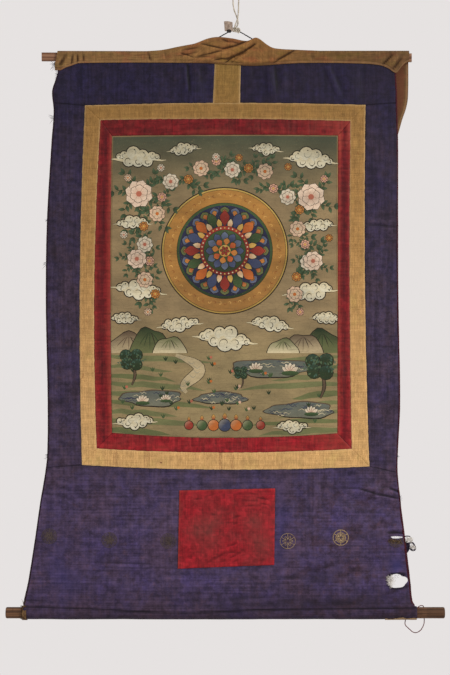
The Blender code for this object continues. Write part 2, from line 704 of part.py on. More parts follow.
def build_lower_panel(edge_drops):
    """Flared panel below the borders; its hem turns under the rod and up behind it."""
    columns, flat_rows = LOWER_STEPS
    grid = []
    stations = [(v, None) for v in spaced(0, 1, flat_rows)]
    stations += [(1.0, drop) for drop in LOWER_HEM_ROWS]
    for v, fixed_drop in stations:
        row = []
        for u in spaced(0, 1, columns):
            drop = fixed_drop or lerp(lower_seam(0), LOWER_FLAT_END, v)
            for _ in range(EDGE_PASSES):
                x = lerp(cloth_edge(LEFT, drop), cloth_edge(RIGHT, drop), u)
                drop = fixed_drop or lerp(lower_seam(x) + SEAM_GAP / 2, LOWER_FLAT_END, v)
            row.append(flat_point(x, drop))
        grid.append(row)
        edge_drops[LEFT].append(-row[0][0].z)
        edge_drops[RIGHT].append(-row[-1][0].z)
    for turn in spaced(0, ROD_SLEEVE_SWEEP, LOWER_TURN_ROWS)[1:]:
        normal = Vector((0, -math.cos(turn), -math.sin(turn)))
        row = []
        for u in spaced(0, 1, columns):
            x = lerp(cloth_edge(LEFT, ROD_DROP), cloth_edge(RIGHT, ROD_DROP), u)
            row.append((Vector((x, 0, -ROD_DROP)) + normal * ROD_SLEEVE_RADIUS, normal))
        grid.append(row)
    panel = sheet_solid("blue_lower", grid, CLOTH, "blue_silk")
    for tear in TEARS:
        cut = panel.modifiers.new(tear[0], "BOOLEAN")
        cut.operation = "DIFFERENCE"
        cut.object = tear_cutter(*tear)


# ================================================================ veil
def veil_front_depth(x, drop):
    """Y of the veil's front layer, clear of the batten's sleeve and of the mount below it."""
    return min(-VEIL_STANDOFF, mount_depth(x, drop) - VEIL_FRONT_OFFSET)


def veil_folds(x, drop):
    """Swell of the front layer's pleats; its lower edge is sewn down."""
    free = smoothstep(0.0, VEIL_SEWN, read_table(VEIL_EDGE_ROWS, x) - drop)
    return fold_height(VEIL_FOLDS, x, drop) * free


def arc_points(centre_y, centre_drop, radius, start, end, count):
    """Points on an arc in the (y, drop) plane; angles in degrees from +Y, positive upwards."""
    points = []
    for angle in spaced(math.radians(start), math.radians(end), count):
        points.append((centre_y + radius * math.cos(angle), centre_drop - radius * math.sin(angle)))
    return points


def straight_points(start, end, count):
    return [lerp_point(start, end, i / count) for i in range(count + 1)]


def simple_veil_path(x):
    """(y, drop) of the veil where it lies flat over the batten, from its front edge to its back."""
    centre = batten_drop(x)
    reach = BATTEN_ROUND + VEIL_STANDOFF
    upper = centre - BATTEN_HALF + BATTEN_ROUND
    back = BATTEN_DEPTH - BATTEN_ROUND
    path = [(veil_front_depth(x, drop), drop)
            for drop in spaced(read_table(VEIL_EDGE_ROWS, x), upper, VEIL_ROWS["front"])]
    path += arc_points(BATTEN_ROUND, upper, reach, 180, 90, VEIL_ROWS["crest"])[1:]
    over = VEIL_ROWS["rear"] + VEIL_ROWS["fillet"] + VEIL_ROWS["top"]
    path += straight_points(path[-1], (back, upper - reach), over)[1:]
    path += arc_points(back, upper, reach, 90, 0, VEIL_ROWS["corner"])[1:]
    return path


def hump_veil_path(x, crest):
    """(y, drop) of the veil where it stands up in a fold before it crosses the batten."""
    centre = batten_drop(x)
    reach = BATTEN_ROUND + VEIL_STANDOFF
    upper = centre - BATTEN_HALF + BATTEN_ROUND
    back = BATTEN_DEPTH - BATTEN_ROUND
    front_y = -VEIL_STANDOFF - HUMP_BULGE
    radius = (VEIL_BACK_LAYER - front_y) / 2
    turn_drop = crest + VEIL_CLOTH / 2 + radius
    lowest = read_table(VEIL_EDGE_ROWS, x)
    path = []
    for drop in spaced(lowest, turn_drop, VEIL_ROWS["front"]):
        rise = smoothstep(0.0, lowest - turn_drop, lowest - drop)
        path.append((lerp(veil_front_depth(x, drop), front_y, rise), drop))
    path += arc_points(front_y + radius, turn_drop, radius, 180, 0, VEIL_ROWS["crest"])[1:]
    foot = (VEIL_BACK_LAYER, upper - reach - HUMP_FILLET)
    path += straight_points(path[-1], foot, VEIL_ROWS["rear"])[1:]
    path += straight_points(foot, (VEIL_BACK_LAYER + HUMP_FILLET, upper - reach), VEIL_ROWS["fillet"])[1:]
    path += straight_points(path[-1], (back, upper - reach), VEIL_ROWS["top"])[1:]
    path += arc_points(back, upper, reach, 90, 0, VEIL_ROWS["corner"])[1:]
    return path


def veil_column(x, u):
    """Points of one column of the veil, from its front edge over the batten to the tail's hem."""
    flat_crest = batten_drop(x) - BATTEN_HALF - VEIL_STANDOFF - VEIL_CLOTH / 2
    crest = min(read_table(VEIL_CREST_ROWS, x), flat_crest)
    height = flat_crest - crest
    weight = min(height / HUMP_FULL, 1.0)
    simple = simple_veil_path(x)
    hump = hump_veil_path(x, min(crest, flat_crest - HUMP_FULL))
    path = [lerp_point(a, b, weight) for a, b in zip(simple, hump)]
    points = []
    for index, (y, drop) in enumerate(path):
        if index <= VEIL_ROWS["front"]:
            y = min(y - veil_folds(x, drop), veil_front_depth(x, drop))
        points.append(Vector((x, y, -drop)))
    start_y, start_drop = path[-1]
    hem = TAIL_DROP + TAIL_HEM_SAG * math.sin(math.pi * u)
    for drop in spaced(start_drop, hem, VEIL_ROWS["tail"])[1:]:
        below = drop - start_drop
        narrowed = 1 - TAIL_NARROW[0] * below - TAIL_NARROW[1] * below**2
        swell = TAIL_FOLD_HEIGHT * smoothstep(0.0, 0.25, below)
        y = start_y + swell * math.sin(2 * math.pi * TAIL_FOLD_COUNT * u)
        points.append(Vector((x * narrowed, y, -drop)))
    return points


def build_veil():
    """Thin silk sheet: front band, bunched hump, and the tail that hangs behind the mount."""
    xs = [VEIL_SPANS[0][0]]
    for start, end, count in VEIL_SPANS:
        xs += spaced(start, end, count)[1:]
    columns = [veil_column(x, (x - xs[0]) / (xs[-1] - xs[0])) for x in xs]
    rows = [[column[r] for column in columns] for r in range(len(columns[0]))]
    sheet_solid("veil", grid_with_normals(rows), VEIL_CLOTH, "veil_silk")


# ================================================================ cords
def smooth_route(route, spacing):
    """Evenly spaced points on a smooth curve through a cord's route."""
    knots = [Vector((x, y, -drop)) for x, y, drop in route]
    padded = [knots[0]] + knots + [knots[-1]]
    fine = []
    for a, b, c, d in zip(padded, padded[1:], padded[2:], padded[3:]):
        start, end = b + (c - a) * CURVE_HANDLE, c - (d - b) * CURVE_HANDLE
        for t in spaced(0, 1, CURVE_STEPS)[:-1]:
            fine.append(b * (1 - t) ** 3 + start * 3 * t * (1 - t) ** 2
                        + end * 3 * t**2 * (1 - t) + c * t**3)
    fine.append(knots[-1])
    reach = [0.0]
    for a, b in zip(fine, fine[1:]):
        reach.append(reach[-1] + (b - a).length)
    count = max(2, round(reach[-1] / spacing))
    points = []
    for target in spaced(0, reach[-1], count):
        i = min(max(n for n in range(len(reach)) if reach[n] <= target + 1e-9), len(fine) - 2)
        points.append(fine[i].lerp(fine[i + 1], (target - reach[i]) / (reach[i + 1] - reach[i])))
    return points


def build_cord(name, route, diameter, finish):
    """Round cord along its route, with closed ends."""
    curve = bpy.data.curves.new(name, "CURVE")
    curve.dimensions = "3D"
    curve.bevel_depth = diameter / 2
    curve.bevel_resolution = CORD_BEVEL_RESOLUTION
    curve.use_fill_caps = True
    points = smooth_route(route, CORD_STEP * diameter)
    spline = curve.splines.new("POLY")
    spline.points.add(len(points) - 1)
    for target, point in zip(spline.points, points):
        target.co = (*point, 1.0)
    finish_object(name, curve, finish)


def build_knot():
    """Turns of string round the hanger cord's peak: a ridged sleeve with a bore for the cord."""
    x, y, drop = KNOT_CENTRE
    profile = []
    length = 2 * KNOT_TURN * KNOT_TURNS
    for turn in range(KNOT_TURNS):
        middle = -length / 2 + KNOT_TURN * (2 * turn + 1)
        for angle in KNOT_ARC:
            bulge = math.radians(angle)
            profile.append((middle + KNOT_TURN * math.cos(bulge),
                            KNOT_BORE + KNOT_TURN * (1 + math.sin(bulge))))
    profile += [(length / 2 - KNOT_LIP, KNOT_BORE), (KNOT_LIP - length / 2, KNOT_BORE)]
    bm = bmesh.new()
    rings = []
    for k in range(KNOT_SIDES):
        angle = 2 * math.pi * k / KNOT_SIDES
        rings.append([bm.verts.new((x + along, y + radius * math.cos(angle),
                                    -drop + radius * math.sin(angle))) for along, radius in profile])
    for k in range(KNOT_SIDES):
        ring, following = rings[k], rings[(k + 1) % KNOT_SIDES]
        for i in range(len(profile)):
            j = (i + 1) % len(profile)
            bm.faces.new((ring[i], ring[j], following[j], following[i]))
    mesh_object("knot", bm, "cream_string")


def build_tape_end():
    """Short flat end of tape, curled, beside the knot."""
    top_left, top_right, bottom_right, bottom_left = TAPE_CORNERS
    points = []
    for v in spaced(0, 1, TAPE_STEPS):
        row = []
        for u in spaced(0, 1, TAPE_STEPS):
            x, drop = lerp_point(lerp_point(top_left, top_right, u),
                                 lerp_point(bottom_left, bottom_right, u), v)
            row.append(Vector((x, TAPE_DEPTH - TAPE_CURL * math.cos(math.pi * u) * (1 - v), -drop)))
        points.append(row)
    sheet_solid("tape_end", grid_with_normals(points), TAPE_CLOTH, "cream_string")


# ================================================================ the whole object
def main():
    clear_scene()
    edge_drops = {LEFT: [], RIGHT: []}
    build_batten()
    build_rod()
    build_painting()
    build_borders()
    build_top_panels(edge_drops)
    build_side_panels(edge_drops)
    build_lower_panel(edge_drops)
    build_door_patch()
    build_edging(edge_drops)
    build_veil()
    build_cord("hanger_cord", HANGER_ROUTE, HANGER_DIAMETER, "dark_cord")
    build_cord("hang_loop", STRING_ROUTE, STRING_DIAMETER, "cream_string")
    build_cord("tie_loop", TIE_ROUTE, TIE_DIAMETER, "maroon_cord")
    build_knot()
    build_tape_end()


main()
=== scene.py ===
"""The looks of a hanging scroll painting in its sewn silk mount: fine cloth, paint, cords and light.

Metres, +Z up, the front faces -Y.  The origin is where the hanging string bears on its nail, and
a "drop" is a distance below it.  Every cloth is a closed thin sheet on the folds of its solid.
"""
import math
from functools import cached_property
from typing import NamedTuple

import bpy
import numpy as np
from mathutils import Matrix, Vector
from mathutils.geometry import delaunay_2d_cdt


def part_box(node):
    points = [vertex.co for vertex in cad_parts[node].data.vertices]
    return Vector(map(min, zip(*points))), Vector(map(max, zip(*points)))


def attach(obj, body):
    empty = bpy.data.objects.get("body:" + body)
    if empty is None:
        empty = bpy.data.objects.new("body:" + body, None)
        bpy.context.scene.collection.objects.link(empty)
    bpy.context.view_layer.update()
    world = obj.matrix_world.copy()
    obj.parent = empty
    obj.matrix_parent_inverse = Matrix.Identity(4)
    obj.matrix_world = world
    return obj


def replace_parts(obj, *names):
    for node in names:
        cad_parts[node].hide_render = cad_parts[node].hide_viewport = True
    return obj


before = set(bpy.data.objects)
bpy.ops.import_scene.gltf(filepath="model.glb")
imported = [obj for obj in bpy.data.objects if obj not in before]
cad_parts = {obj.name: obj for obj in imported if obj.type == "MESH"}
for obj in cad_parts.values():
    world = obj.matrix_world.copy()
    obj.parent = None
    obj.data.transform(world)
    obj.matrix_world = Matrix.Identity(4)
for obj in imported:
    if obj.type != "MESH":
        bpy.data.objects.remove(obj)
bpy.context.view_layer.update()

# ---------------------------------------------------------------- sizes read from the frame
ROD_LOW, ROD_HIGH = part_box("rod")
ROD_RADIUS = (ROD_HIGH.y - ROD_LOW.y) / 2
ROD_DROP = -(ROD_LOW.z + ROD_HIGH.z) / 2
BATTEN_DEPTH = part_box("batten")[1].y

# ---------------------------------------------------------------- sizes of the solids' cloth
CLOTH = 0.0012
VEIL_CLOTH = 0.0010
SEAM_GAP = 0.0003
PATCH_LIFT = 0.0006
EDGING_WIDTH = 0.0034
EDGING_HALF_THICK = 0.0011
EDGING_SIDES = 10
EDGING_STITCH = 0.0048
BATTEN_DROP = 0.1300
BATTEN_TILT = 0.0024          # extra drop for each metre to the right
BATTEN_HEIGHT = 0.0168
BATTEN_ROUND = 0.0015
BATTEN_HALF = BATTEN_HEIGHT / 2
SLEEVE_OFFSET = SEAM_GAP + CLOTH / 2
SLEEVE_HEM = 0.0008
ROD_SLEEVE_RADIUS = ROD_RADIUS + 0.0007 + CLOTH / 2
ROD_SLEEVE_SWEEP = math.radians(330)

EDGE_ROWS = [
    # drop,   left,    right          the mount's two long edges
    (0.1300, -0.3580, 0.3210),
    (0.1440, -0.3635, 0.3205),
    (0.1560, -0.3565, 0.3200),
    (0.1760, -0.3610, 0.3205),
    (0.2000, -0.3675, 0.3220),
    (0.2380, -0.3645, 0.3225),
    (0.3000, -0.3690, 0.3240),
    (0.4600, -0.3780, 0.3240),
    (0.6200, -0.3800, 0.3245),
    (0.8200, -0.3760, 0.3275),
    (0.9200, -0.3765, 0.3230),
    (0.9600, -0.3805, 0.3225),
    (1.0200, -0.3905, 0.3285),
    (1.1000, -0.4020, 0.3385),
    (1.1800, -0.4150, 0.3480),
    (1.2160, -0.4230, 0.3520),
    (1.2300, -0.4240, 0.3600),
    (1.2560, -0.4240, 0.3610),
]
LEFT, RIGHT = 1, 2            # columns of EDGE_ROWS
INWARD = {LEFT: 1, RIGHT: -1}
EDGING_TOP = 0.1400
EDGING_BOTTOM = 1.2255
EDGING_FADE = 0.0050


class Contour(NamedTuple):
    """A sewn outline: corners as (x, drop), and how far the middle of each side bows outwards."""
    top_left: tuple
    top_right: tuple
    bottom_right: tuple
    bottom_left: tuple
    bow_left: float
    bow_right: float
    bow_top: float
    bow_bottom: float


YELLOW_OUTER = Contour((-0.302, 0.227), (0.259, 0.226), (0.266, 0.948), (-0.307, 0.945),
                       0.0075, -0.0050, 0.0045, 0.0080)
YELLOW_INNER = Contour((-0.271, 0.256), (0.229, 0.258), (0.231, 0.913), (-0.278, 0.912),
                       0.0085, -0.0030, 0.0030, 0.0080)
PAINTING_EDGE = Contour((-0.248, 0.288), (0.204, 0.287), (0.202, 0.882), (-0.247, 0.881),
                        0.0030, 0.0000, 0.0015, 0.0095)
SEAM_ENDS = {"top": (0.2225, 0.2220), "bottom": (0.9500, 0.9600)}      # drops at the two long edges
TOP_MIDDLE = 0.18             # drop where a top panel's width is taken
TOP_LENGTH = 0.085
LOWER_START = 0.955
LOWER_WIDTH = 0.74
STRIP_ROWS = [
    # drop,   left,    right          the yellow strip between the two top panels
    (0.1300, -0.0420, 0.0100),
    (0.2220, -0.0460, 0.0080),
]
DOOR_CORNERS = ((-0.113, 0.996), (0.078, 0.992), (0.076, 1.144), (-0.116, 1.152))


class Fold(NamedTuple):
    """A ridge along a straight line on a cloth; a negative height is a trough."""
    x0: float
    drop0: float
    x1: float
    drop1: float
    width: float
    height: float


MOUNT_FOLDS = [Fold(*row) for row in (
    (-0.052, 0.16, -0.056, 0.206, 0.012, -0.0024),  # puckers under the batten
    (-0.084, 0.16, -0.09, 0.2, 0.014, 0.0018),
    (0.07, 0.158, 0.074, 0.2, 0.013, 0.0018),
    (0.104, 0.158, 0.108, 0.196, 0.013, -0.0016),
    (0.23, 0.16, 0.236, 0.205, 0.016, 0.0016),
    (-0.356, 0.2, -0.352, 0.232, 0.02, 0.004),  # loose corner of the left edge
    (0.262, 0.472, 0.322, 0.47, 0.016, 0.0018),  # creases of the right side panel
    (0.262, 0.708, 0.322, 0.712, 0.016, -0.0018),
    (0.214, 0.99, 0.326, 1.01, 0.013, 0.0034),  # double pleat of the lower panel
    (0.24, 1.018, 0.326, 1.034, 0.014, -0.0022),
    (-0.38, 1.084, 0.32, 1.09, 0.024, 0.0016),  # rolls across the lower panel
    (-0.39, 1.156, 0.3, 1.16, 0.022, -0.0018),
    (-0.29, 1.14, -0.128, 1.15, 0.016, 0.0016),
)]


class Wave(NamedTuple):
    """A slow swell over the whole mount."""
    height: float
    cycles_x: float           # per metre
    cycles_drop: float
    phase: float


MOUNT_WAVES = [
    Wave(0.0012, 1.9, 0.7, 0.4),
    Wave(0.0007, 0.8, 2.3, 2.1),
    Wave(0.0005, 4.1, 1.3, 4.0),
]
WAVE_START, WAVE_FULL = 0.146, 0.176
WAVE_LAST, WAVE_END = 1.180, 1.225

# ---------------------------------------------------------------- creases too fine for the solids
MOUNT_CREASES = [Fold(*row) for row in (
    (-0.0985, 0.14, -0.093, 0.2, 0.004, -0.0036),  # the dark pucker left of the strip
    (-0.102, 0.148, -0.0985, 0.196, 0.0045, 0.0014),
    (-0.07, 0.146, -0.069, 0.188, 0.004, -0.0011),
    (-0.14, 0.148, -0.143, 0.176, 0.005, -0.0008),
    (-0.2, 0.148, -0.203, 0.19, 0.006, 0.0007),
    (0.033, 0.148, 0.035, 0.176, 0.004, -0.001),
    (0.064, 0.148, 0.068, 0.202, 0.006, 0.0015),
    (0.078, 0.146, 0.082, 0.2, 0.006, -0.0018),
    (0.093, 0.15, 0.096, 0.2, 0.006, 0.0012),
    (0.178, 0.144, 0.208, 0.214, 0.006, 0.0016),
    (0.188, 0.144, 0.216, 0.21, 0.005, -0.0012),
    (0.25, 0.15, 0.254, 0.2, 0.006, -0.0008),
    (-0.296, 0.15, -0.298, 0.176, 0.006, -0.001),
    (0.264, 0.46, 0.322, 0.465, 0.004, 0.001),  # right side panel
    (0.264, 0.466, 0.322, 0.471, 0.003, -0.0012),
    (0.264, 0.708, 0.322, 0.712, 0.003, -0.0009),
    (-0.37, 0.204, -0.356, 0.212, 0.004, -0.0012),  # loose corner of the left side panel
    (0.21, 0.9905, 0.254, 0.9935, 0.003, -0.0014),  # double pleat of the lower panel
    (0.248, 0.9935, 0.278, 1.0025, 0.003, -0.0018),
    (0.27, 1.001, 0.324, 1.012, 0.0034, -0.0024),
    (0.25, 0.988, 0.29, 0.995, 0.005, 0.0014),
    (0.282, 0.99, 0.312, 0.9915, 0.0026, -0.0015),
    (0.304, 0.991, 0.326, 1.0, 0.003, -0.0026),
    (-0.284, 1.14, -0.17, 1.143, 0.0022, -0.001),  # ripples left of the patch
    (-0.284, 1.144, -0.17, 1.1475, 0.0026, 0.001),
    (-0.176, 1.1495, -0.126, 1.1515, 0.002, -0.0008),
    (-0.386, 1.048, -0.318, 1.055, 0.003, 0.0007),
    (-0.364, 0.972, -0.312, 0.982, 0.003, -0.0006),  # a fan of fine wrinkles
    (-0.364, 0.986, -0.314, 1.001, 0.0034, -0.0006),
    (-0.36, 1.002, -0.318, 1.02, 0.0034, -0.0005),
    (0.142, 0.96, 0.146, 1.06, 0.0044, -0.0009),  # ribbed column right of the patch
    (0.156, 0.958, 0.16, 1.05, 0.0036, 0.0008),
    (0.17, 0.97, 0.172, 1.04, 0.004, -0.0008),
    (0.148, 1.16, 0.198, 1.142, 0.005, -0.0013),
    (0.088, 1.17, 0.142, 1.172, 0.003, -0.0008),
    (0.086, 1.182, 0.13, 1.18, 0.003, -0.0007),
    (0.106, 1.035, 0.15, 1.037, 0.003, -0.0006),
    (0.23, 1.148, 0.252, 1.145, 0.0026, 0.0008),
    (-0.11, 1.16, -0.106, 1.21, 0.006, 0.0006),
    (0.076, 1.16, 0.078, 1.23, 0.006, 0.0006),
    (-0.02, 1.212, 0.09, 1.208, 0.005, -0.0014),
    (0.298, 1.16, 0.334, 1.156, 0.004, 0.002),  # cloth drawn up over the hole
    (0.3, 1.08, 0.336, 1.081, 0.0034, -0.002),
    (0.3, 1.098, 0.334, 1.099, 0.0036, -0.0014),
)]
CREASE_STEEP, CREASE_GENTLE = 0.6, 1.6        # shares of its width below and above a crease
CREASE_LEAST = 0.15           # share of its height at a crease's ends
DARK_CREASE, DARKEST_CREASE = 0.0015, 0.0034  # depths where a crease starts to look dark, and is darkest
DARK_LINE_SHARE = 0.42        # of a crease's width
SLEEVE_SEAM_ROWS = [
    # x,      drop of the line where the sleeve of the rod is sewn
    (-0.4240, 1.2274),
    (-0.3000, 1.2312),
    (-0.1160, 1.2386),
    (0.0500, 1.2335),
    (0.2000, 1.2318),
    (0.3610, 1.2300),
]

SEAM_DIP, SEAM_RISE = 0.0011, 0.0008          # at that line, and of the roll above it
EDGE_DIP, EDGE_DIP_REACH = 0.0008, 0.0011     # of a sewn edge
PUCKER_HEIGHT, PUCKER_PITCH, PUCKER_REACH = 0.00030, 0.0075, 0.007
SEAM_SHADE_REACH = 0.0022
PATCH_CROWN, PATCH_DEEPEST = 0.0012, 0.0004   # heights of the patch's middle and of its deepest crease

# ---------------------------------------------------------------- tears in the lower panel
class Tear(NamedTuple):
    x: float
    drop: float
    half_width: float
    half_height: float
    raggedness: float


HOLE = Tear(0.3216, 1.1762, 0.0194, 0.0138, 0.055)
SLIT = Tear(0.3200, 1.0890, 0.0120, 0.0023, 0.07)
CUTTER_REACH = 0.012
TEARS_FROM = 0.28             # x of the part of the panel that holds both tears

# ---------------------------------------------------------------- veil
VEIL_STANDOFF = 0.0027
VEIL_LEFT = -0.362            # its end past the solid's, gathered round the sleeve's corner
VEIL_RIGHT = 0.346
VEIL_SLANT = 0.005            # how far that end slants inwards at the top
VEIL_PUFF = 0.0042            # of the bunched heap, so that its folds have depth
VEIL_FRONT_OFFSET = 0.0020
VEIL_BACK_LAYER = -0.0012
HUMP_BULGE = 0.0026
HUMP_FULL = 0.0070
HUMP_FILLET = 0.0016
VEIL_SEWN = 0.0080
VEIL_EDGE_ROWS = [
    # x,      drop of the front lower edge
    (-0.350, 0.1570),
    (-0.340, 0.1515),
    (-0.330, 0.1480),
    (-0.312, 0.1425),
    (-0.070, 0.1425),
    (0.000, 0.1465),
    (0.038, 0.1480),
    (0.128, 0.1425),
    (0.250, 0.1435),
    (0.288, 0.1470),
    (0.304, 0.1530),
    (0.320, 0.1620),
    (0.330, 0.1510),
    (0.338, 0.1430),
    (0.346, 0.1400),
]
VEIL_CREST_ROWS = [
    # x,      drop of the top outline of the hump
    (-0.180, 0.1180),
    (-0.152, 0.1160),
    (-0.132, 0.1130),
    (-0.102, 0.1074),
    (-0.082, 0.1035),
    (-0.056, 0.0936),
    (-0.036, 0.0906),
    (-0.008, 0.0934),
    (0.022, 0.0984),
    (0.041, 0.0920),
    (0.062, 0.1060),
    (0.072, 0.1116),
    (0.088, 0.1138),
    (0.118, 0.1152),
    (0.168, 0.1172),
]
TAIL_DROP = 0.500
TAIL_HEM_SAG = 0.012
TAIL_WIDTH_ROWS = [
    # drop below the batten, share of the veil's width
    (0.000, 1.000),
    (0.085, 0.998),
    (0.108, 0.986),
    (0.128, 0.966),
    (0.166, 0.934),
    (0.250, 0.850),
    (0.390, 0.700),
]
TAIL_FOLD_COUNT = 7
TAIL_FOLD_HEIGHT = 0.0026

# ---------------------------------------------------------------- cords, as (x, y, drop)
HANGER_DIAMETER = 0.0022
HANGER_ROUTE = [
    (-0.0828, 0.0050, 0.1168), (-0.0780, 0.0048, 0.1142), (-0.0600, 0.0036, 0.1044),
    (-0.0360, 0.0018, 0.0914), (-0.0200, 0.0006, 0.0827), (-0.0110, 0.0001, 0.0778),
    (-0.0075, 0.0000, 0.0762), (-0.0030, 0.0000, 0.0751), (0.0015, 0.0000, 0.0760),
    (0.0050, 0.0001, 0.0780), (0.0140, 0.0006, 0.0831), (0.0352, 0.0018, 0.0952),
    (0.0540, 0.0034, 0.1060), (0.0690, 0.0046, 0.1145), (0.0737, 0.0050, 0.1172),
]
STRING_DIAMETER = 0.0028
STRING_ROUTE = [
    (0.0012, 0.0016, 0.0701), (0.0034, 0.0018, 0.0650), (0.0040, 0.0018, 0.0590),
    (0.0026, 0.0018, 0.0520), (-0.0006, 0.0014, 0.0440), (-0.0036, 0.0008, 0.0360),
    (-0.0054, 0.0003, 0.0270), (-0.0060, 0.0000, 0.0170), (-0.0058, 0.0000, 0.0085),
    (-0.0042, 0.0000, 0.0020), (0.0000, 0.0000, -0.0014), (0.0042, 0.0000, 0.0020),
    (0.0056, 0.0000, 0.0085), (0.0054, -0.0004, 0.0170), (0.0051, -0.0010, 0.0270),
    (0.0049, -0.0015, 0.0360), (0.0042, -0.0018, 0.0460), (0.0026, -0.0018, 0.0550),
    (-0.0002, -0.0018, 0.0630), (-0.0024, -0.0018, 0.0701),
]
TIE_DIAMETER = 0.0018
TIE_ROUTE = [
    (0.3622, -0.0070, 1.2309), (0.3645, -0.0055, 1.2285), (0.3682, -0.0028, 1.2270),
    (0.3725, 0.0020, 1.2276), (0.3758, 0.0082, 1.2302), (0.3770, 0.0128, 1.2380),
    (0.3773, 0.0124, 1.2470), (0.3774, 0.0080, 1.2548), (0.3764, 0.0030, 1.2630),
    (0.3736, 0.0010, 1.2700), (0.3690, 0.0000, 1.2764), (0.3620, 0.0000, 1.2808),
    (0.3545, 0.0000, 1.2804), (0.3465, 0.0008, 1.2740), (0.3392, 0.0020, 1.2668),
    (0.3384, 0.0034, 1.2610), (0.3400, 0.0080, 1.2560), (0.3410, 0.0130, 1.2500),
    (0.3412, 0.0150, 1.2430), (0.3412, 0.0148, 1.2380),
]
KNOT_CENTRE = (-0.0020, 0.0000, 0.0756)       # x, y, drop
TAPE_CORNERS = ((-0.0240, 0.0600), (-0.0068, 0.0610), (-0.0067, 0.0800), (-0.0225, 0.0790))
KNOT_TURNS = 4.4
KNOT_LOOP = ((-0.0030, -0.0040, -0.0016), (0.0002, -0.0050, -0.0042), (0.0034, -0.0046, -0.0010),
             (0.0026, -0.0048, 0.0034), (-0.0012, -0.0046, 0.0042), (-0.0036, -0.0040, 0.0010))
TAPE_DEPTH = -0.0042
TAPE_CURL = 0.0016

# ---------------------------------------------------------------- loose ends
TUFTS = (
    # edge, drop,  count, reach
    (LEFT, 0.252, 9, 0.011), (LEFT, 0.456, 5, 0.006), (LEFT, 0.542, 6, 0.008), (LEFT, 0.926, 7, 0.008),
    (RIGHT, 0.926, 4, 0.006), (RIGHT, 1.010, 5, 0.006), (LEFT, 0.146, 12, 0.010), (LEFT, 0.156, 10, 0.008),
    (LEFT, 0.166, 6, 0.006),
)
STITCHED_AT = (-0.2440, -0.2408, -0.2376, -0.1820, -0.1772, -0.1724, -0.0332, -0.0300, -0.0096, -0.0064)
TURNING_COLUMNS = (-0.0045, -0.0015, 0.0015, 0.0045)      # of a turned edge's points, from its seam
SCRAP_FLAP = ((0.3390, 1.0950), (0.3440, 1.0990), (0.3458, 1.1030), (0.3450, 1.1080), (0.3464, 1.1135),
              (0.3440, 1.1185), (0.3395, 1.1230))
SCRAP_LIP = ((0.3360, -0.0070, 1.0882), (0.3400, -0.0076, 1.0874), (0.3440, -0.0078, 1.0874),
             (0.3480, -0.0076, 1.0886))

# ---------------------------------------------------------------- camera and fineness
VIEW_CENTRE = (-0.022, -0.691)                # x and z of the picture's middle
VIEW_HEIGHT = 1.350                           # of the picture, at the scroll
VIEW_DISTANCE = 3.40
SENSOR = 36.0
PITCH = 0.0030                # usual spacing of a cloth's points
EDGE_STATIONS = (0.0005, 0.0012, 0.0022)      # extra points beside a sewn edge
TUCKED = 0.55                 # share of the binding's width that the silk's own edge is drawn in by
OUTLINE_PITCH = 0.003         # of the painting's outlines
CUT_SCALE, CUT_TOLERANCE = 1000.0, 0.02       # the painting's shapes are cut in millimetres


# ================================================================ camera
def make_camera():
    data = bpy.data.cameras.new("camera")
    data.sensor_fit = "AUTO"
    data.sensor_width = SENSOR
    data.lens = SENSOR / VIEW_HEIGHT * VIEW_DISTANCE
    camera = bpy.data.objects.new("camera", data)
    camera.location = (VIEW_CENTRE[0], -VIEW_DISTANCE, VIEW_CENTRE[1])
    camera.rotation_euler = (math.pi / 2, 0, 0)
    bpy.context.scene.collection.objects.link(camera)
    bpy.context.scene.camera = camera


# ================================================================ number helpers
def lerp(a, b, t):
    return a + (b - a) * t


def lerp_point(a, b, t):
    """lerp of both coordinates of two points."""
    return lerp(a[0], b[0], t), lerp(a[1], b[1], t)


def smoothstep(low, high, value):
    t = np.clip((value - low) / (high - low), 0.0, 1.0)
    return t * t * (3.0 - 2.0 * t)


def band(value, middle, width):
    """A smooth hump of height 1 where a value is near its middle."""
    return np.exp(-((value - middle) / width) ** 2)


def full_turn(count):
    """Evenly spaced angles once round."""
    return np.linspace(0, 2 * math.pi, count, endpoint=False)


def pairs(x, drop):
    """Points on a cloth from arrays of x and drop."""
    return np.stack(np.broadcast_arrays(x, drop), axis=-1)


def around(x, drop, reach, turn, squash=1.0):
    """Points on a cloth at a reach from a centre, one for each angle of a turn."""
    return pairs(x + reach * np.cos(turn), drop + squash * reach * np.sin(turn))


def xyz(x, y, drop):
    """Points in space from arrays of x, y and drop."""
    return np.stack(np.broadcast_arrays(x, y, -np.asarray(drop)), axis=-1)


def read_table(rows, key, column=1):
    """Values of one column at an array of keys, on a smooth curve through the table's rows."""
    data = np.array(rows, float)
    keys, values = data[:, 0], data[:, column]
    last = len(keys) - 1
    number = np.arange(last + 1)
    after, before = np.minimum(number + 1, last), np.maximum(number - 1, 0)
    slopes = (values[after] - values[before]) / (keys[after] - keys[before])
    key = np.clip(np.asarray(key, float), keys[0], keys[-1])
    i = np.clip(np.searchsorted(keys, key, side="right") - 1, 0, last - 1)
    span = keys[i + 1] - keys[i]
    t = (key - keys[i]) / span
    return ((2 * t**3 - 3 * t**2 + 1) * values[i] + (t**3 - 2 * t**2 + t) * span * slopes[i]
            + (3 * t**2 - 2 * t**3) * values[i + 1] + (t**3 - t**2) * span * slopes[i + 1])


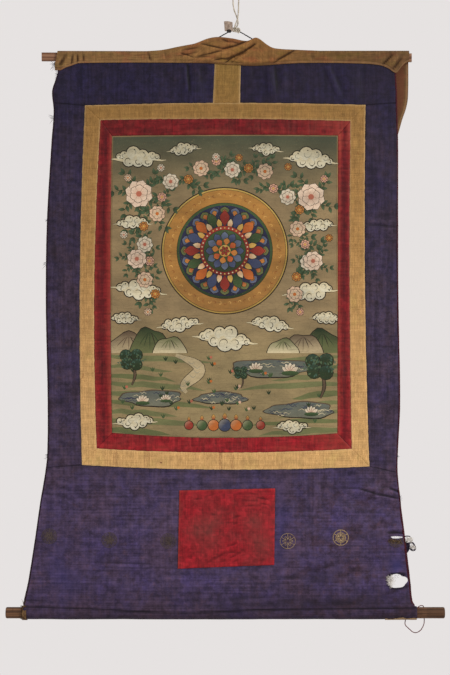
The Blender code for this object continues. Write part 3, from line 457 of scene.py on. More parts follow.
def noise(u, v, seed):
    """Smooth noise from -1 to 1 with one lump per unit."""
    size = 128
    lattice = np.random.default_rng(seed).uniform(-1, 1, (size, size))
    u, v = np.broadcast_arrays(np.asarray(u, float), np.asarray(v, float))
    iu, iv = np.floor(u).astype(int), np.floor(v).astype(int)
    fu, fv = smoothstep(0, 1, u - iu), smoothstep(0, 1, v - iv)
    low = lerp(lattice[iu % size, iv % size], lattice[(iu + 1) % size, iv % size], fu)
    high = lerp(lattice[iu % size, (iv + 1) % size], lattice[(iu + 1) % size, (iv + 1) % size], fu)
    return lerp(low, high, fv)


class Lumps(NamedTuple):
    """One layer of unevenness: the height of its lumps, and their size across and down."""
    height: float
    across: float
    down: float
    seed: int


def uneven(layers, x, drop):
    """Sum of layers of lumps at each point."""
    return sum(a.height * noise(x / a.across, drop / a.down, a.seed) for a in layers)


SILK_LUMPS = (Lumps(0.00030, 0.055, 0.009, 11), Lumps(0.00022, 0.016, 0.030, 12),
              Lumps(0.00050, 0.080, 0.060, 13))
PAINTING_LUMPS = (Lumps(0.00045, 0.070, 0.022, 21), Lumps(0.00030, 0.020, 0.060, 22))
RED_CRINKLES = (Lumps(0.00035, 0.030, 0.0035, 51), Lumps(0.00030, 0.0040, 0.045, 52))
PATCH_LUMPS = (Lumps(0.0007, 0.018, 0.012, 61), Lumps(0.00035, 0.006, 0.005, 62))


def line_frame(x, drop, line):
    """Distance from a fold's line, signed distance (positive below it), and share along it."""
    run_x, run_drop = line.x1 - line.x0, line.drop1 - line.drop0
    length = math.hypot(run_x, run_drop)
    t = ((x - line.x0) * run_x + (drop - line.drop0) * run_drop) / length**2
    side = ((drop - line.drop0) * run_x - (x - line.x0) * run_drop) / length
    t = np.clip(t, 0, 1)
    away = np.hypot(x - line.x0 - t * run_x, drop - line.drop0 - t * run_drop)
    return away, side, t


def fold_height(folds, x, drop):
    """Sum of soft ridges and troughs at each point, positive towards the viewer."""
    return sum(fold.height * band(line_frame(x, drop, fold)[0], 0, fold.width) for fold in folds)


def crease_height(creases, x, drop):
    """Sum of sharp little folds, steep below and gentle above, that fade towards both ends."""
    total = np.zeros(np.broadcast(x, drop).shape)
    for crease in creases:
        away, side, t = line_frame(x, drop, crease)
        width = crease.width * np.where(side > 0, CREASE_STEEP, CREASE_GENTLE)
        fade = CREASE_LEAST + (1 - CREASE_LEAST) * np.sin(math.pi * t) ** 0.7
        total += crease.height * fade * band(away, 0, width)
    return total


def crease_shade(creases, x, drop):
    """A dark line at the bottom of each deep crease, from 0 to 1."""
    total = np.zeros(np.broadcast(x, drop).shape)
    for crease in creases:
        if crease.height < -DARK_CREASE:
            away, _, t = line_frame(x, drop, crease)
            line = band(away, 0, DARK_LINE_SHARE * crease.width) * np.sin(math.pi * t) ** 0.5
            total += line * min(1.0, -crease.height / DARKEST_CREASE)
    return np.clip(total, 0, 1)


# ================================================================ the shape of the mount
def batten_drop(x):
    return BATTEN_DROP + BATTEN_TILT * x


def mount_depth(x, drop):
    """Y of the mount's middle surface, as the solids have it."""
    start, end = BATTEN_DROP + BATTEN_HALF, ROD_DROP
    base = lerp(-SLEEVE_OFFSET, -ROD_SLEEVE_RADIUS, np.clip((drop - start) / (end - start), 0, 1))
    relief = fold_height(MOUNT_FOLDS, x, drop)
    for wave in MOUNT_WAVES:
        turns = wave.cycles_x * x + wave.cycles_drop * drop
        relief = relief + wave.height * np.sin(2 * math.pi * turns + wave.phase)
    held = smoothstep(WAVE_START, WAVE_FULL, drop) * (1 - smoothstep(WAVE_LAST, WAVE_END, drop))
    return base - relief * held


def fine_relief(x, drop):
    """Creases and soft unevenness of the silk, finer than the solids have."""
    line = read_table(SLEEVE_SEAM_ROWS, x)
    height = crease_height(MOUNT_CREASES, x, drop) + uneven(SILK_LUMPS, x, drop)
    height = height - SEAM_DIP * band(drop, line, 0.0013) + SEAM_RISE * band(drop, line - 0.0045, 0.0030)
    return height * smoothstep(0.140, 0.150, drop)


def cloth_edge(side, drop):
    """X of the silk's own long edge, inside the edging where there is one."""
    covered = 1 - smoothstep(EDGING_BOTTOM + 0.001, EDGING_BOTTOM + EDGING_FADE, drop)
    return read_table(EDGE_ROWS, drop, side) + INWARD[side] * EDGING_WIDTH * TUCKED * covered


def contour_point(contour, side, t):
    """x and drop on one side of a contour; t runs left to right, or top to bottom."""
    start, end, bow = {
        "top": (contour.top_left, contour.top_right, (0, -contour.bow_top)),
        "bottom": (contour.bottom_left, contour.bottom_right, (0, contour.bow_bottom)),
        "left": (contour.top_left, contour.bottom_left, (-contour.bow_left, 0)),
        "right": (contour.top_right, contour.bottom_right, (contour.bow_right, 0)),
    }[side]
    x, drop = lerp_point(start, end, t)
    bulge = 4 * t * (1 - t)
    return x + bow[0] * bulge, drop + bow[1] * bulge


def cross_seam(x, side):
    """Drop of a seam across the whole mount: along the yellow border, then out to the edges."""
    left_x, left_end = getattr(YELLOW_OUTER, side + "_left")
    right_x, right_end = getattr(YELLOW_OUTER, side + "_right")
    left_drop, right_drop = SEAM_ENDS[side]
    left_edge, right_edge = cloth_edge(LEFT, left_drop), cloth_edge(RIGHT, right_drop)
    middle = contour_point(YELLOW_OUTER, side, np.clip((x - left_x) / (right_x - left_x), 0, 1))[1]
    outer_left = lerp(left_drop, left_end, (x - left_edge) / (left_x - left_edge))
    outer_right = lerp(right_drop, right_end, (x - right_edge) / (right_x - right_edge))
    return np.where(x < left_x, outer_left, np.where(x > right_x, outer_right, middle))


# ================================================================ building meshes
def grid_normals(points):
    """Unit normals of a grid of points; rows run down and columns to the right, seen from outside."""
    normals = np.cross(np.gradient(points, axis=0), np.gradient(points, axis=1))
    return normals / np.maximum(np.linalg.norm(normals, axis=2, keepdims=True), 1e-12)


def both_faces(points, thickness):
    """The front and back vertices of a sheet on a grid of points."""
    offset = grid_normals(points) * (thickness / 2)
    return np.concatenate([(points + offset).reshape(-1, 3), (points - offset).reshape(-1, 3)])


def lengths(points, axis=0):
    """Running length of a grid or a line of points along one axis."""
    steps = np.linalg.norm(np.diff(points, axis=axis), axis=-1)
    start = np.zeros_like(np.take(steps, [0], axis=axis))
    return np.concatenate([start, np.cumsum(steps, axis=axis)], axis=axis)


def link(name, data, finish):
    """Link a mesh as a piece that rides on the body and has its finish."""
    data.materials.append(FINISHES[finish])
    obj = bpy.data.objects.new(name, data)
    bpy.context.scene.collection.objects.link(obj)
    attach(obj, "root")
    return obj


def mesh_from(name, verts, faces, sharp_angle=50):
    mesh = bpy.data.meshes.new(name)
    mesh.from_pydata(np.asarray(verts).tolist(), [], [list(f) for f in faces])
    mesh.shade_smooth()
    mesh.set_sharp_from_angle(angle=math.radians(sharp_angle))
    return mesh


def set_attribute(mesh, name, values, kind="FLOAT"):
    """Store one value, or one vector, for each vertex."""
    attribute = mesh.attributes.new(name, kind, "POINT")
    key = "vector" if kind == "FLOAT_VECTOR" else "value"
    attribute.data.foreach_set(key, np.asarray(values, np.float32).ravel())


def sheet_faces(rows, columns):
    """Quads of a closed sheet: the front grid, the back grid after it, and the rim."""
    front = np.arange(rows * columns).reshape(rows, columns)
    back = front + rows * columns
    front_quads = np.stack([front[:-1, :-1], front[1:, :-1], front[1:, 1:], front[:-1, 1:]], axis=-1)
    back_quads = np.stack([back[:-1, :-1], back[:-1, 1:], back[1:, 1:], back[1:, :-1]], axis=-1)
    rim = np.concatenate([front[0, :-1], front[:-1, -1], front[-1, :0:-1], front[:0:-1, 0]])
    after = np.roll(rim, -1)
    rim_quads = np.stack([rim, after, after + rows * columns, rim + rows * columns], axis=-1)
    return np.concatenate([front_quads.reshape(-1, 4), back_quads.reshape(-1, 4), rim_quads])


def hollows(relief, reach=2, depth=0.0006):
    """Where a grid's relief is hollow (negative) or crowned (positive), about -1 to 1; it gives painted shade in
    hollows and painted highlights on crowns.
    """
    shares = []
    smooth = relief.copy()
    far = 6 * reach
    for step in range(1, far + 1):
        padded = np.pad(smooth, 1, mode="edge")
        smooth = (padded[:-2, 1:-1] + padded[2:, 1:-1] + padded[1:-1, :-2] + padded[1:-1, 2:]) / 4
        if step in (reach, far):
            shares.append((relief - smooth) / (depth if step == reach else 2.2 * depth))
    return np.tanh(0.6 * shares[0] + 0.6 * shares[1])


def cloth_sheet(name, points, finish, nodes=(), thickness=CLOTH,
                wear=None, stain=None, stain_behind=False, weave=None):
    """Closed thin cloth on a grid of points; weave gives its threads' own two coordinates."""
    rows, columns = points.shape[:2]
    across, down = lengths(points, 1), lengths(points, 0)
    mesh = mesh_from(name, both_faces(points, thickness), sheet_faces(rows, columns))
    first, second = weave or (points[..., 0], down)
    cloth = np.stack([first, second, np.zeros_like(down)], axis=-1).reshape(-1, 3)
    set_attribute(mesh, "cloth", np.concatenate([cloth, cloth]), "FLOAT_VECTOR")
    # The first attribute holds wear and painted shade in hollows and painted highlights on crowns; the second
    # holds stains and painted shade in deep creases and above the rod's sleeve.
    for label, values in (("wear", wear), ("stain", stain)):
        values = np.zeros(rows * columns) if values is None else values.ravel()
        set_attribute(mesh, label, np.concatenate([values, values * stain_behind]))
    obj = link(name, mesh, finish)
    if nodes:
        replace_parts(obj, *nodes)
    return obj


def stations(length, pitch=PITCH):
    """Shares of a length at about one pitch, with a few more beside its two sewn ends."""
    values = np.linspace(0, 1, max(2, round(length / pitch)) + 1)
    near = np.array(EDGE_STATIONS) / length
    inner = values[(values > near[-1] * 1.3) & (values < 1 - near[-1] * 1.3)]
    return np.concatenate([[0], near, inner, (1 - near)[::-1], [1]])


def rim_distance(u, v, width, length):
    """Distance from the nearest edge of a piece, and the running length along that edge."""
    from_side, from_end = np.minimum(u, 1 - u) * width, np.minimum(v, 1 - v) * length
    return np.minimum(from_side, from_end), np.where(from_side < from_end, v * length, u * width)


def seam_dip(u, v, width, length, seed):
    """How far a sewn edge dips behind the cloth's face, with the small puckers of its stitches."""
    side, along = rim_distance(u, v, width, length)
    pucker = PUCKER_HEIGHT * noise(along / PUCKER_PITCH, side / 0.02, seed) * band(side, 0, PUCKER_REACH)
    return EDGE_DIP * band(side, 0, EDGE_DIP_REACH) + pucker


def mount_piece(name, surface, finish, lift=0.0, relief=None, seed=1, pitch=PITCH, rests_on=("batten",),
                stain=None, seam_dark=0.0):
    """A flat piece of the mount: surface(u, v) gives x and drop for arrays from 0 to 1."""
    middle = surface(np.array([0.0, 1.0, 0.5, 0.5]), np.array([0.5, 0.5, 0.0, 1.0]))
    width = math.hypot(middle[0][1] - middle[0][0], middle[1][1] - middle[1][0])
    length = math.hypot(middle[0][3] - middle[0][2], middle[1][3] - middle[1][2])
    u, v = np.meshgrid(stations(width, pitch), stations(length, pitch))
    x, drop = surface(u, v)
    height = fine_relief(x, drop) - seam_dip(u, v, width, length, seed)
    if relief is not None:
        height = height + relief(x, drop, u, v)
    side, _ = rim_distance(u, v, width, length)
    # painted shadow along the piece's sewn rims
    cloth_sheet(name + "_silk", xyz(x, mount_depth(x, drop) - lift - height, drop), finish, [name],
                wear=hollows(height) - seam_dark * band(side, 0, SEAM_SHADE_REACH), weave=(x, drop),
                stain=None if stain is None else stain(x, drop, u, v))


# ================================================================ materials
def srgb(red, green, blue):
    """Linear colour of a screen colour given from 0 to 255."""
    values = []
    for level in (red, green, blue):
        share = level / 255
        values.append(share / 12.92 if share <= 0.04045 else ((share + 0.055) / 1.055) ** 2.4)
    return (*values, 1.0)


CLOTH_GLOSS = 0.12            # mirror share of silk, paint and thread
DULLED = 0.80                 # all colours are taken down by this, because the lamps add to the room's light


class Finish:
    """A material and short ways to add nodes to it."""

    def __init__(self, name, roughness):
        self.material = bpy.data.materials.new(name)
        self.material.use_nodes = True
        self.tree = self.material.node_tree
        self.shader = self.tree.nodes["Principled BSDF"]
        self.shader.inputs["Roughness"].default_value = roughness
        self.shader.inputs["Specular IOR Level"].default_value = CLOTH_GLOSS

    def plug(self, socket, value):
        """Link a socket, or set its constant."""
        if isinstance(value, bpy.types.NodeSocket):
            self.tree.links.new(value, socket)
        else:
            socket.default_value = value

    def node(self, kind, settings=None, **values):
        node = self.tree.nodes.new("ShaderNode" + kind)
        for key, value in (settings or {}).items():
            setattr(node, key, value)
        for key, value in values.items():
            self.plug(node.inputs[key.replace("_", " ")], value)
        return node

    def attribute(self, name, output="Fac"):
        return self.node("Attribute", {"attribute_name": name}).outputs[output]

    def split(self, vector):
        return self.node("SeparateXYZ", Vector=vector).outputs

    @cached_property
    def place(self):
        """Place in the object's frame, in metres."""
        return self.node("TexCoord").outputs["Object"]

    @cached_property
    def x(self):
        return self.split(self.place)[0]

    @cached_property
    def drop(self):
        return self.math("MULTIPLY", self.split(self.place)[2], -1.0)

    @cached_property
    def cloth(self):
        """Place on the cloth, in metres along its threads."""
        return self.attribute("cloth", "Vector")

    def stretched(self, vector, scale, offset=(0, 0, 0)):
        return self.node("Mapping", Vector=vector, Scale=scale, Location=offset).outputs["Vector"]

    def clouds(self, vector, scale, offset=(0, 0, 0), detail=3.0, roughness=0.55, distortion=0.0):
        """Smooth noise; scale is its number of lumps in a metre each way."""
        return self.node("TexNoise", Vector=self.stretched(vector, scale, offset), Scale=1.0, Detail=detail,
                         Roughness=roughness, Distortion=distortion).outputs["Fac"]

    def math(self, operation, a, b=0.0):
        node = self.node("Math", {"operation": operation})
        self.plug(node.inputs[0], a)
        self.plug(node.inputs[1], b)
        return node.outputs[0]

    def remap(self, value, low, high, to_low=0.0, to_high=1.0, smooth=True):
        return self.node("MapRange", {"interpolation_type": "SMOOTHSTEP" if smooth else "LINEAR"}, Value=value,
                         From_Min=low, From_Max=high, To_Min=to_low, To_Max=to_high).outputs["Result"]

    def mix(self, factor, a, b, mode="MIX"):
        node = self.node("Mix", {"data_type": "RGBA", "blend_type": mode}, Factor=factor)
        self.plug(node.inputs[6], a)
        self.plug(node.inputs[7], b)
        return node.outputs[2]

    def times(self, colour, other):
        return self.mix(1.0, colour, other, "MULTIPLY")

    def cover(self, colour, other, factor, low, high, amount=1.0, smooth=True):
        """Draw a colour towards another one, by up to an amount, as a factor runs from low to high."""
        return self.mix(self.remap(factor, low, high, 0.0, amount, smooth), colour, other)

    def vary(self, colour, factor, amount, low=0.3, high=0.7):
        """Darker and lighter by a share, as a factor runs from low to high."""
        return self.times(colour, self.remap(factor, low, high, 1 - amount, 1 + amount))

    def yarns(self, colour, scale, amount, offset=(0, 0, 0)):
        """Threads that differ a little in tone."""
        return self.vary(colour, self.clouds(self.cloth, scale, offset), amount)

    def ramp(self, factor, stops):
        """Colours along a factor; stops are (position, colour)."""
        node = self.node("ValToRGB", Fac=factor)
        elements = node.color_ramp.elements
        while len(elements) < len(stops):
            elements.new(0.5)
        for element, (position, colour) in zip(elements, stops):
            element.position = position
            element.color = colour
        return node.outputs["Color"]

    def shade_folds(self, colour, hollow, crown, deep=(0.004, 0.003, 0.004, 1)):
        """Painted shade, with dust, darker in hollows, and a painted highlight, paler on crowns."""
        wear = self.attribute("wear")
        colour = self.cover(colour, deep, wear, 0.0, -1.0, hollow, smooth=False)
        return self.cover(colour, self.times(colour, CROWN_HIGHLIGHT), wear, 0.0, 1.0, crown, smooth=False)

    def stains_and_shade(self, colour, dark, pale):
        """An attribute from -1 to 1 of stains and painted shade draws a colour to a pale or a dark one."""
        stain = self.attribute("stain")
        colour = self.cover(colour, dark, stain, 0.0, 1.0, smooth=False)
        return self.cover(colour, pale, stain, 0.0, -1.0, smooth=False)

    def bump(self, height, distance, normal=None):
        node = self.node("Bump", Height=height, Distance=distance, Strength=1.0)
        if normal is not None:
            self.plug(node.inputs["Normal"], normal)
        return node.outputs["Normal"]

    def weave(self, pitch, distance=0.00003, twill=0.0):
        """Normal of crossing threads, warp and weft, at a pitch in metres."""
        x, y, _ = self.split(self.cloth)
        turn = 2 * math.pi / pitch
        slanted = self.math("ADD", x, self.math("MULTIPLY", y, twill))
        warp = self.math("SINE", self.math("MULTIPLY", slanted, turn))
        weft = self.math("SINE", self.math("MULTIPLY", y, turn))
        return self.bump(self.math("MULTIPLY", self.math("ADD", warp, weft), 0.5), distance)

    def finish(self, colour, roughness=None, normal=None):
        self.plug(self.shader.inputs["Base Color"], self.times(colour, (DULLED, DULLED, DULLED, 1)))
        if roughness is not None:
            self.plug(self.shader.inputs["Roughness"], roughness)
        if normal is not None:
            self.plug(self.shader.inputs["Normal"], normal)
        return self.material


# how much paler crowns are drawn: a painted highlight
CROWN_HIGHLIGHT = (1.7, 1.66, 1.6, 1)
BLUE_BY_DROP = [(0.00, srgb(33, 28, 51)), (0.08, srgb(36, 30, 53)), (0.14, srgb(46, 38, 58)),
                (0.40, srgb(55, 45, 64)), (0.70, srgb(60, 49, 70)), (0.80, srgb(68, 56, 84)),
                (0.93, srgb(65, 53, 80)), (1.00, srgb(56, 44, 62))]
YELLOW_BY_DROP = [(0.00, srgb(133, 103, 53)), (0.09, srgb(137, 104, 55)), (0.13, srgb(144, 108, 60)),
                  (0.45, srgb(168, 128, 76)), (0.75, srgb(194, 152, 98)), (1.00, srgb(206, 163, 106))]
RED_BY_DROP = [(0.00, srgb(103, 24, 26)), (0.30, srgb(108, 26, 28)), (0.60, srgb(120, 31, 31)),
               (0.75, srgb(138, 29, 35)), (1.00, srgb(143, 28, 36))]
VEIL_BY_X = [(0.00, srgb(123, 93, 56)), (0.30, srgb(122, 90, 52)), (0.50, srgb(128, 90, 49)),
             (0.75, srgb(105, 76, 42)), (1.00, srgb(96, 69, 42))]


def blue_silk():
    """Dark violet-blue silk, paler towards the bottom, mottled and streaked with brown."""
    f = Finish("blue_silk", 0.62)
    base = f.ramp(f.remap(f.drop, 0.14, 1.26, smooth=False), BLUE_BY_DROP)
    patches = f.clouds(f.place, (17, 17, 14), detail=7.0, roughness=0.74)
    colour = f.cover(base, f.times(base, (1.22, 1.06, 0.80, 1)), patches, 0.52, 0.40, 0.50)
    colour = f.cover(colour, f.times(base, (0.88, 0.90, 1.36, 1)), patches, 0.48, 0.68, 0.60)
    low_right = f.math("MULTIPLY", f.remap(f.x, 0.02, 0.16), f.remap(f.drop, 0.94, 1.02))
    rubbed = f.remap(f.clouds(f.place, (30, 30, 46), (5, 0, 3), detail=6.0, roughness=0.7), 0.48, 0.62)
    colour = f.mix(f.math("MULTIPLY", low_right, rubbed), colour, f.times(colour, (0.84, 0.74, 0.64, 1)))
    upright = f.clouds(f.place, (170, 170, 10), detail=4.0, roughness=0.7)
    level = f.clouds(f.place, (6, 6, 250), detail=4.0, roughness=0.6)
    streaks = f.mix(f.remap(f.drop, 0.80, 1.00, 0.25, 0.60), upright, level)
    colour = f.vary(colour, streaks, 0.31, 0.34, 0.66)
    mottle = f.clouds(f.place, (60, 60, 75), detail=6.0, roughness=0.78)
    colour = f.vary(colour, mottle, 0.46)
    tint = f.clouds(f.place, (110, 110, 90), (4, 1, 7), detail=4.0, roughness=0.7)
    colour = f.cover(colour, f.times(colour, (1.35, 1.08, 0.75, 1)), tint, 0.52, 0.70, 0.45)
    colour = f.stains_and_shade(colour, srgb(30, 24, 36), srgb(58, 54, 104))
    colour = f.shade_folds(colour, 0.75, 0.50)
    ribs = f.clouds(f.cloth, (60, 420, 1), detail=2.0)
    normal = f.bump(ribs, 0.00025, f.weave(0.0008, twill=0.5))
    return f.finish(colour, f.remap(mottle, 0.2, 0.8, 0.52, 0.72), normal)


FRET_CELL = 0.0104            # of the woven fret


def fret(f):
    """Lines of nested squares, each open at one side, in rows set half a square apart."""
    across, along, _ = f.split(f.cloth)
    row = f.math("DIVIDE", along, FRET_CELL)
    half = f.math("MULTIPLY", f.math("MODULO", f.math("FLOOR", row), 2.0), 0.5)
    column = f.math("ADD", f.math("DIVIDE", across, FRET_CELL), half)
    from_x = f.math("SUBTRACT", f.math("FRACT", column), 0.5)
    from_y = f.math("SUBTRACT", f.math("FRACT", row), 0.5)
    reach = f.math("MAXIMUM", f.math("ABSOLUTE", from_x), f.math("ABSOLUTE", from_y))
    lines = f.remap(f.math("COSINE", f.math("MULTIPLY", reach, 8 * math.pi)), 0.0, 0.9)
    gap = f.math("LESS_THAN", f.math("ABSOLUTE", f.math("SUBTRACT", from_x, 0.05)), 0.10)
    return f.math("MULTIPLY", lines, f.math("SUBTRACT", 1.0, f.math("MULTIPLY", gap, 0.8)))


def yellow_brocade():
    """Straw-yellow silk, darker at the top, woven with a self-coloured fret of fine lines."""
    f = Finish("yellow_brocade", 0.66)
    base = f.ramp(f.remap(f.drop, 0.14, 0.96, smooth=False), YELLOW_BY_DROP)
    lines = fret(f)
    worn = f.remap(f.clouds(f.place, (18, 18, 18)), 0.35, 0.65, 0.35, 0.80)
    colour = f.mix(f.math("MULTIPLY", lines, worn), base, f.times(base, (0.62, 0.56, 0.44, 1)))
    pale = f.clouds(f.place, (24, 24, 20), (1, 3, 2), detail=5.0, roughness=0.65)
    colour = f.cover(colour, f.times(colour, (0.92, 1.04, 0.92, 1)), pale, 0.50, 0.70, 0.6)
    colour = f.yarns(colour, (420, 22, 1), 0.13)
    colour = f.yarns(colour, (22, 420, 1), 0.10, (3.0, 1.0, 0))
    slubs = f.clouds(f.cloth, (300, 70, 1), (6, 2, 0), detail=1.0)
    colour = f.cover(colour, srgb(104, 74, 38), slubs, 0.66, 0.80, 0.35)
    colour = f.vary(colour, f.clouds(f.place, (75, 75, 75), (2, 0, 1), detail=5.0, roughness=0.7), 0.14)
    spots = f.clouds(f.place, (60, 60, 60), (9, 2, 4), detail=2.0)
    colour = f.cover(colour, srgb(120, 66, 34), spots, 0.72, 0.78, 0.40)
    colour = f.stains_and_shade(colour, srgb(120, 84, 60), srgb(210, 178, 128))
    colour = f.shade_folds(colour, 0.40, 0.28, srgb(60, 38, 14))
    return f.finish(colour, None, f.bump(lines, 0.00008, f.weave(0.0009)))


def red_silk(name="red_silk", changeant=0.40, dark=srgb(58, 16, 24)):
    """Crimson damask of soft squarish patches, its two thread colours showing by turns."""
    f = Finish(name, 0.50)
    base = f.ramp(f.remap(f.drop, 0.25, 1.15, smooth=False), RED_BY_DROP)
    patches = f.clouds(f.place, (34, 34, 26), detail=5.0, roughness=0.62)
    colour = f.cover(base, f.times(base, (0.62, 1.75, 1.25, 1)), patches, 0.50, 0.36, changeant)
    colour = f.cover(colour, f.times(base, (1.18, 0.70, 0.95, 1)), patches, 0.52, 0.68, 0.8)
    squares = f.node("TexVoronoi", {"distance": "CHEBYCHEV"}, Vector=f.stretched(f.cloth, (95, 70, 1)),
                     Scale=1.0)
    colour = f.vary(colour, f.split(squares.outputs["Color"])[0], 0.12, 0.2, 0.8)
    colour = f.yarns(colour, (380, 30, 1), 0.16)
    colour = f.yarns(colour, (30, 380, 1), 0.12, (5.0, 2.0, 0))
    mottle = f.clouds(f.place, (120, 120, 120), (3, 3, 1), detail=4.0, roughness=0.7)
    colour = f.vary(colour, mottle, 0.22)
    colour = f.stains_and_shade(colour, dark, srgb(160, 66, 52))
    colour = f.shade_folds(colour, 0.80, 0.55, (0.012, 0.001, 0.002, 1))
    normal = f.bump(mottle, 0.0003, f.weave(0.0009))
    return f.finish(colour, f.remap(patches, 0.3, 0.7, 0.42, 0.60), normal)


def veil_silk():
    """Brown-gold thin silk with fine ribs, yellower at the left and browner at the right."""
    f = Finish("veil_silk", 0.72)
    base = f.ramp(f.remap(f.x, -0.36, 0.36, smooth=False), VEIL_BY_X)
    patches = f.clouds(f.place, (26, 26, 60), detail=4.0)
    colour = f.cover(base, f.times(base, (1.06, 0.84, 0.92, 1)), patches, 0.50, 0.33)
    colour = f.cover(colour, f.times(base, (0.88, 1.00, 0.78, 1)), patches, 0.54, 0.72)
    weft = f.clouds(f.cloth, (34, 420, 1))
    colour = f.yarns(f.vary(colour, weft, 0.14), (330, 26, 1), 0.14, (2, 5, 0))
    colour = f.vary(colour, f.clouds(f.place, (130, 130, 130), (6, 1, 1), detail=4.0, roughness=0.7), 0.16)
    colour = f.stains_and_shade(colour, srgb(96, 52, 34), srgb(168, 128, 92))
    colour = f.shade_folds(colour, 0.88, 0.45, srgb(46, 24, 6))
    return f.finish(colour, None, f.bump(weft, 0.00015, f.weave(0.0007)))


def painted_cloth():
    """Distemper on primed cotton: the drawing's colours, worn, with cracks and the cloth's grain."""
    f = Finish("painted_cloth", 0.82)
    blotches = f.clouds(f.place, (13, 13, 30), detail=5.0, roughness=0.6)
    tones = f.ramp(f.remap(blotches, 0.3, 0.7), [(0.0, (0.78, 0.79, 0.78, 1)), (1.0, (1.16, 1.15, 1.12, 1))])
    colour = f.times(f.attribute("paint", "Color"), tones)
    colour = f.cover(colour, srgb(60, 66, 54), f.drop, 0.380, 0.290, 0.30, smooth=False)
    grain = f.clouds(f.place, (30, 30, 700), detail=2.0)
    colour = f.cover(colour, srgb(74, 63, 46), grain, 0.50, 0.80, 0.35)
    colour = f.cover(colour, srgb(142, 124, 92), f.clouds(f.place, (420, 420, 420)), 0.60, 0.74, 0.40)
    cracks = f.node("TexVoronoi", {"feature": "DISTANCE_TO_EDGE"}, Vector=f.stretched(f.place, (90, 90, 140)),
                    Scale=1.0).outputs["Distance"]
    colour = f.cover(colour, srgb(70, 58, 42), cracks, 0.030, 0.0, 0.30)
    colour = f.shade_folds(colour, 0.25, 0.10)
    normal = f.bump(blotches, 0.0003, f.weave(0.0009, 0.00005))
    return f.finish(colour, f.remap(blotches, 0.3, 0.7, 0.72, 0.88), normal)


def wood(name, light, dark, at_left=1.0, at_right=1.0, tip=1.0):
    """Grained wood, its grain along X, with darker streaks, pores and grime; its tone runs along it."""
    f = Finish(name, 0.6)
    rings = f.clouds(f.place, (5, 150, 150), detail=4.0, distortion=0.6)
    colour = f.cover(light, dark, rings, 0.36, 0.66)
    colour = f.times(colour, f.remap(f.x, -0.40, 0.36, at_left, at_right))
    colour = f.times(colour, f.remap(f.x, 0.3790, 0.3815, 1.0, tip))
    pores = f.clouds(f.place, (60, 1300, 1300), detail=2.0)
    colour = f.cover(colour, (0.02, 0.012, 0.008, 1), pores, 0.58, 0.74, 0.55)
    grime = f.clouds(f.place, (40, 40, 40), (3, 1, 2), detail=4.0)
    colour = f.cover(colour, f.times(dark, (0.5, 0.5, 0.5, 1)), grime, 0.52, 0.76, 0.5)
    normal = f.bump(rings, 0.0004, f.bump(pores, 0.0003))
    return f.finish(colour, f.remap(grime, 0.3, 0.7, 0.48, 0.72), normal)


def thread(name, colour, dark, scale=700.0, roughness=0.8):
    """Spun thread: fibres that catch the light, darker where dirt sits between them."""
    f = Finish(name, roughness)
    fibres = f.clouds(f.place, (scale, scale, scale * 0.5))
    soil = f.clouds(f.place, (55, 55, 55), (1, 4, 2))
    mixed = f.cover(colour, dark, fibres, 0.40, 0.64, 0.8)
    mixed = f.cover(mixed, f.times(mixed, (0.55, 0.5, 0.45, 1)), soil, 0.45, 0.72, 0.5)
    return f.finish(mixed, None, f.bump(fibres, 0.0003))


THREADS = {
    # name: light colour, dark colour, and its fibres in a metre where they are coarse
    "dark_cord": ((40, 36, 36), (14, 12, 12)),
    "cream_string": ((206, 196, 178), (124, 112, 96)),
    "maroon_cord": ((116, 58, 58), (60, 24, 28)),
    "maroon_edging": ((72, 26, 34), (34, 14, 22)),
    "dark_edging": ((44, 26, 36), (22, 14, 22)),
    "brown_lining": ((112, 86, 56), (66, 46, 30), 300.0),
    "stitch": ((150, 100, 76), (112, 70, 54)),
    "tape": ((168, 150, 134), (118, 100, 88), 300.0),
    "gold_thread": ((172, 148, 114), (112, 92, 70), 700.0, 0.5),
    "worn_gold": ((80, 68, 64), (62, 52, 60), 300.0),
    "door_thread": ((122, 34, 38), (98, 26, 32)),
    "white_fibre": ((226, 222, 214), (170, 160, 150)),
    "dark_fibre": ((54, 46, 66), (26, 22, 34)),
    "olive_fibre": ((118, 96, 66), (70, 54, 36)),
    "lining": ((178, 150, 112), (124, 98, 70)),
}
FINISHES = {}                 # every material by its name


def make_finishes():
    FINISHES["door_silk"] = red_silk("door_silk", 0.5, srgb(104, 58, 52))
    FINISHES["batten_wood"] = wood("batten_wood", srgb(150, 112, 86), srgb(96, 62, 44))
    FINISHES["rod_wood"] = wood("rod_wood", srgb(112, 80, 56), srgb(64, 44, 32), 1.50, 1.00, 0.80)
    for make in (blue_silk, yellow_brocade, red_silk, veil_silk, painted_cloth):
        FINISHES[make.__name__] = make()
    for name, (light, dark, *rest) in THREADS.items():
        FINISHES[name] = thread(name, srgb(*light), srgb(*dark), *rest)


# ================================================================ cords
def smooth_line(route, spacing):
    """Evenly spaced points on a smooth curve through points (x, y, drop)."""
    knots = np.array(route, float) * (1, 1, -1)
    padded = np.concatenate([knots[:1], knots, knots[-1:]])
    fine = []
    for a, b, c, d in zip(padded, padded[1:], padded[2:], padded[3:]):
        start, end = b + (c - a) / 6, c - (d - b) / 6
        for t in np.linspace(0, 1, 16, endpoint=False):
            fine.append(b * (1 - t) ** 3 + start * 3 * t * (1 - t) ** 2 + end * 3 * t**2 * (1 - t) + c * t**3)
    fine = np.array(fine + [knots[-1]])
    reach = lengths(fine)
    targets = np.linspace(0, reach[-1], max(2, round(reach[-1] / spacing)) + 1)
    return np.stack([np.interp(targets, reach, fine[:, k]) for k in range(3)], axis=1)


def path_frames(line):
    """Two unit vectors square to a line at each of its points, turning as little as they can."""
    tangents = np.gradient(line, axis=0)
    tangents /= np.linalg.norm(tangents, axis=1, keepdims=True)
    side = np.cross(tangents[0], (0.0, 1.0, 0.1))
    sides = []
    for tangent in tangents:
        side = side - tangent * np.dot(side, tangent)
        side = side / np.linalg.norm(side)
        sides.append(side)
    sides = np.array(sides)
    return sides, np.cross(tangents, sides)


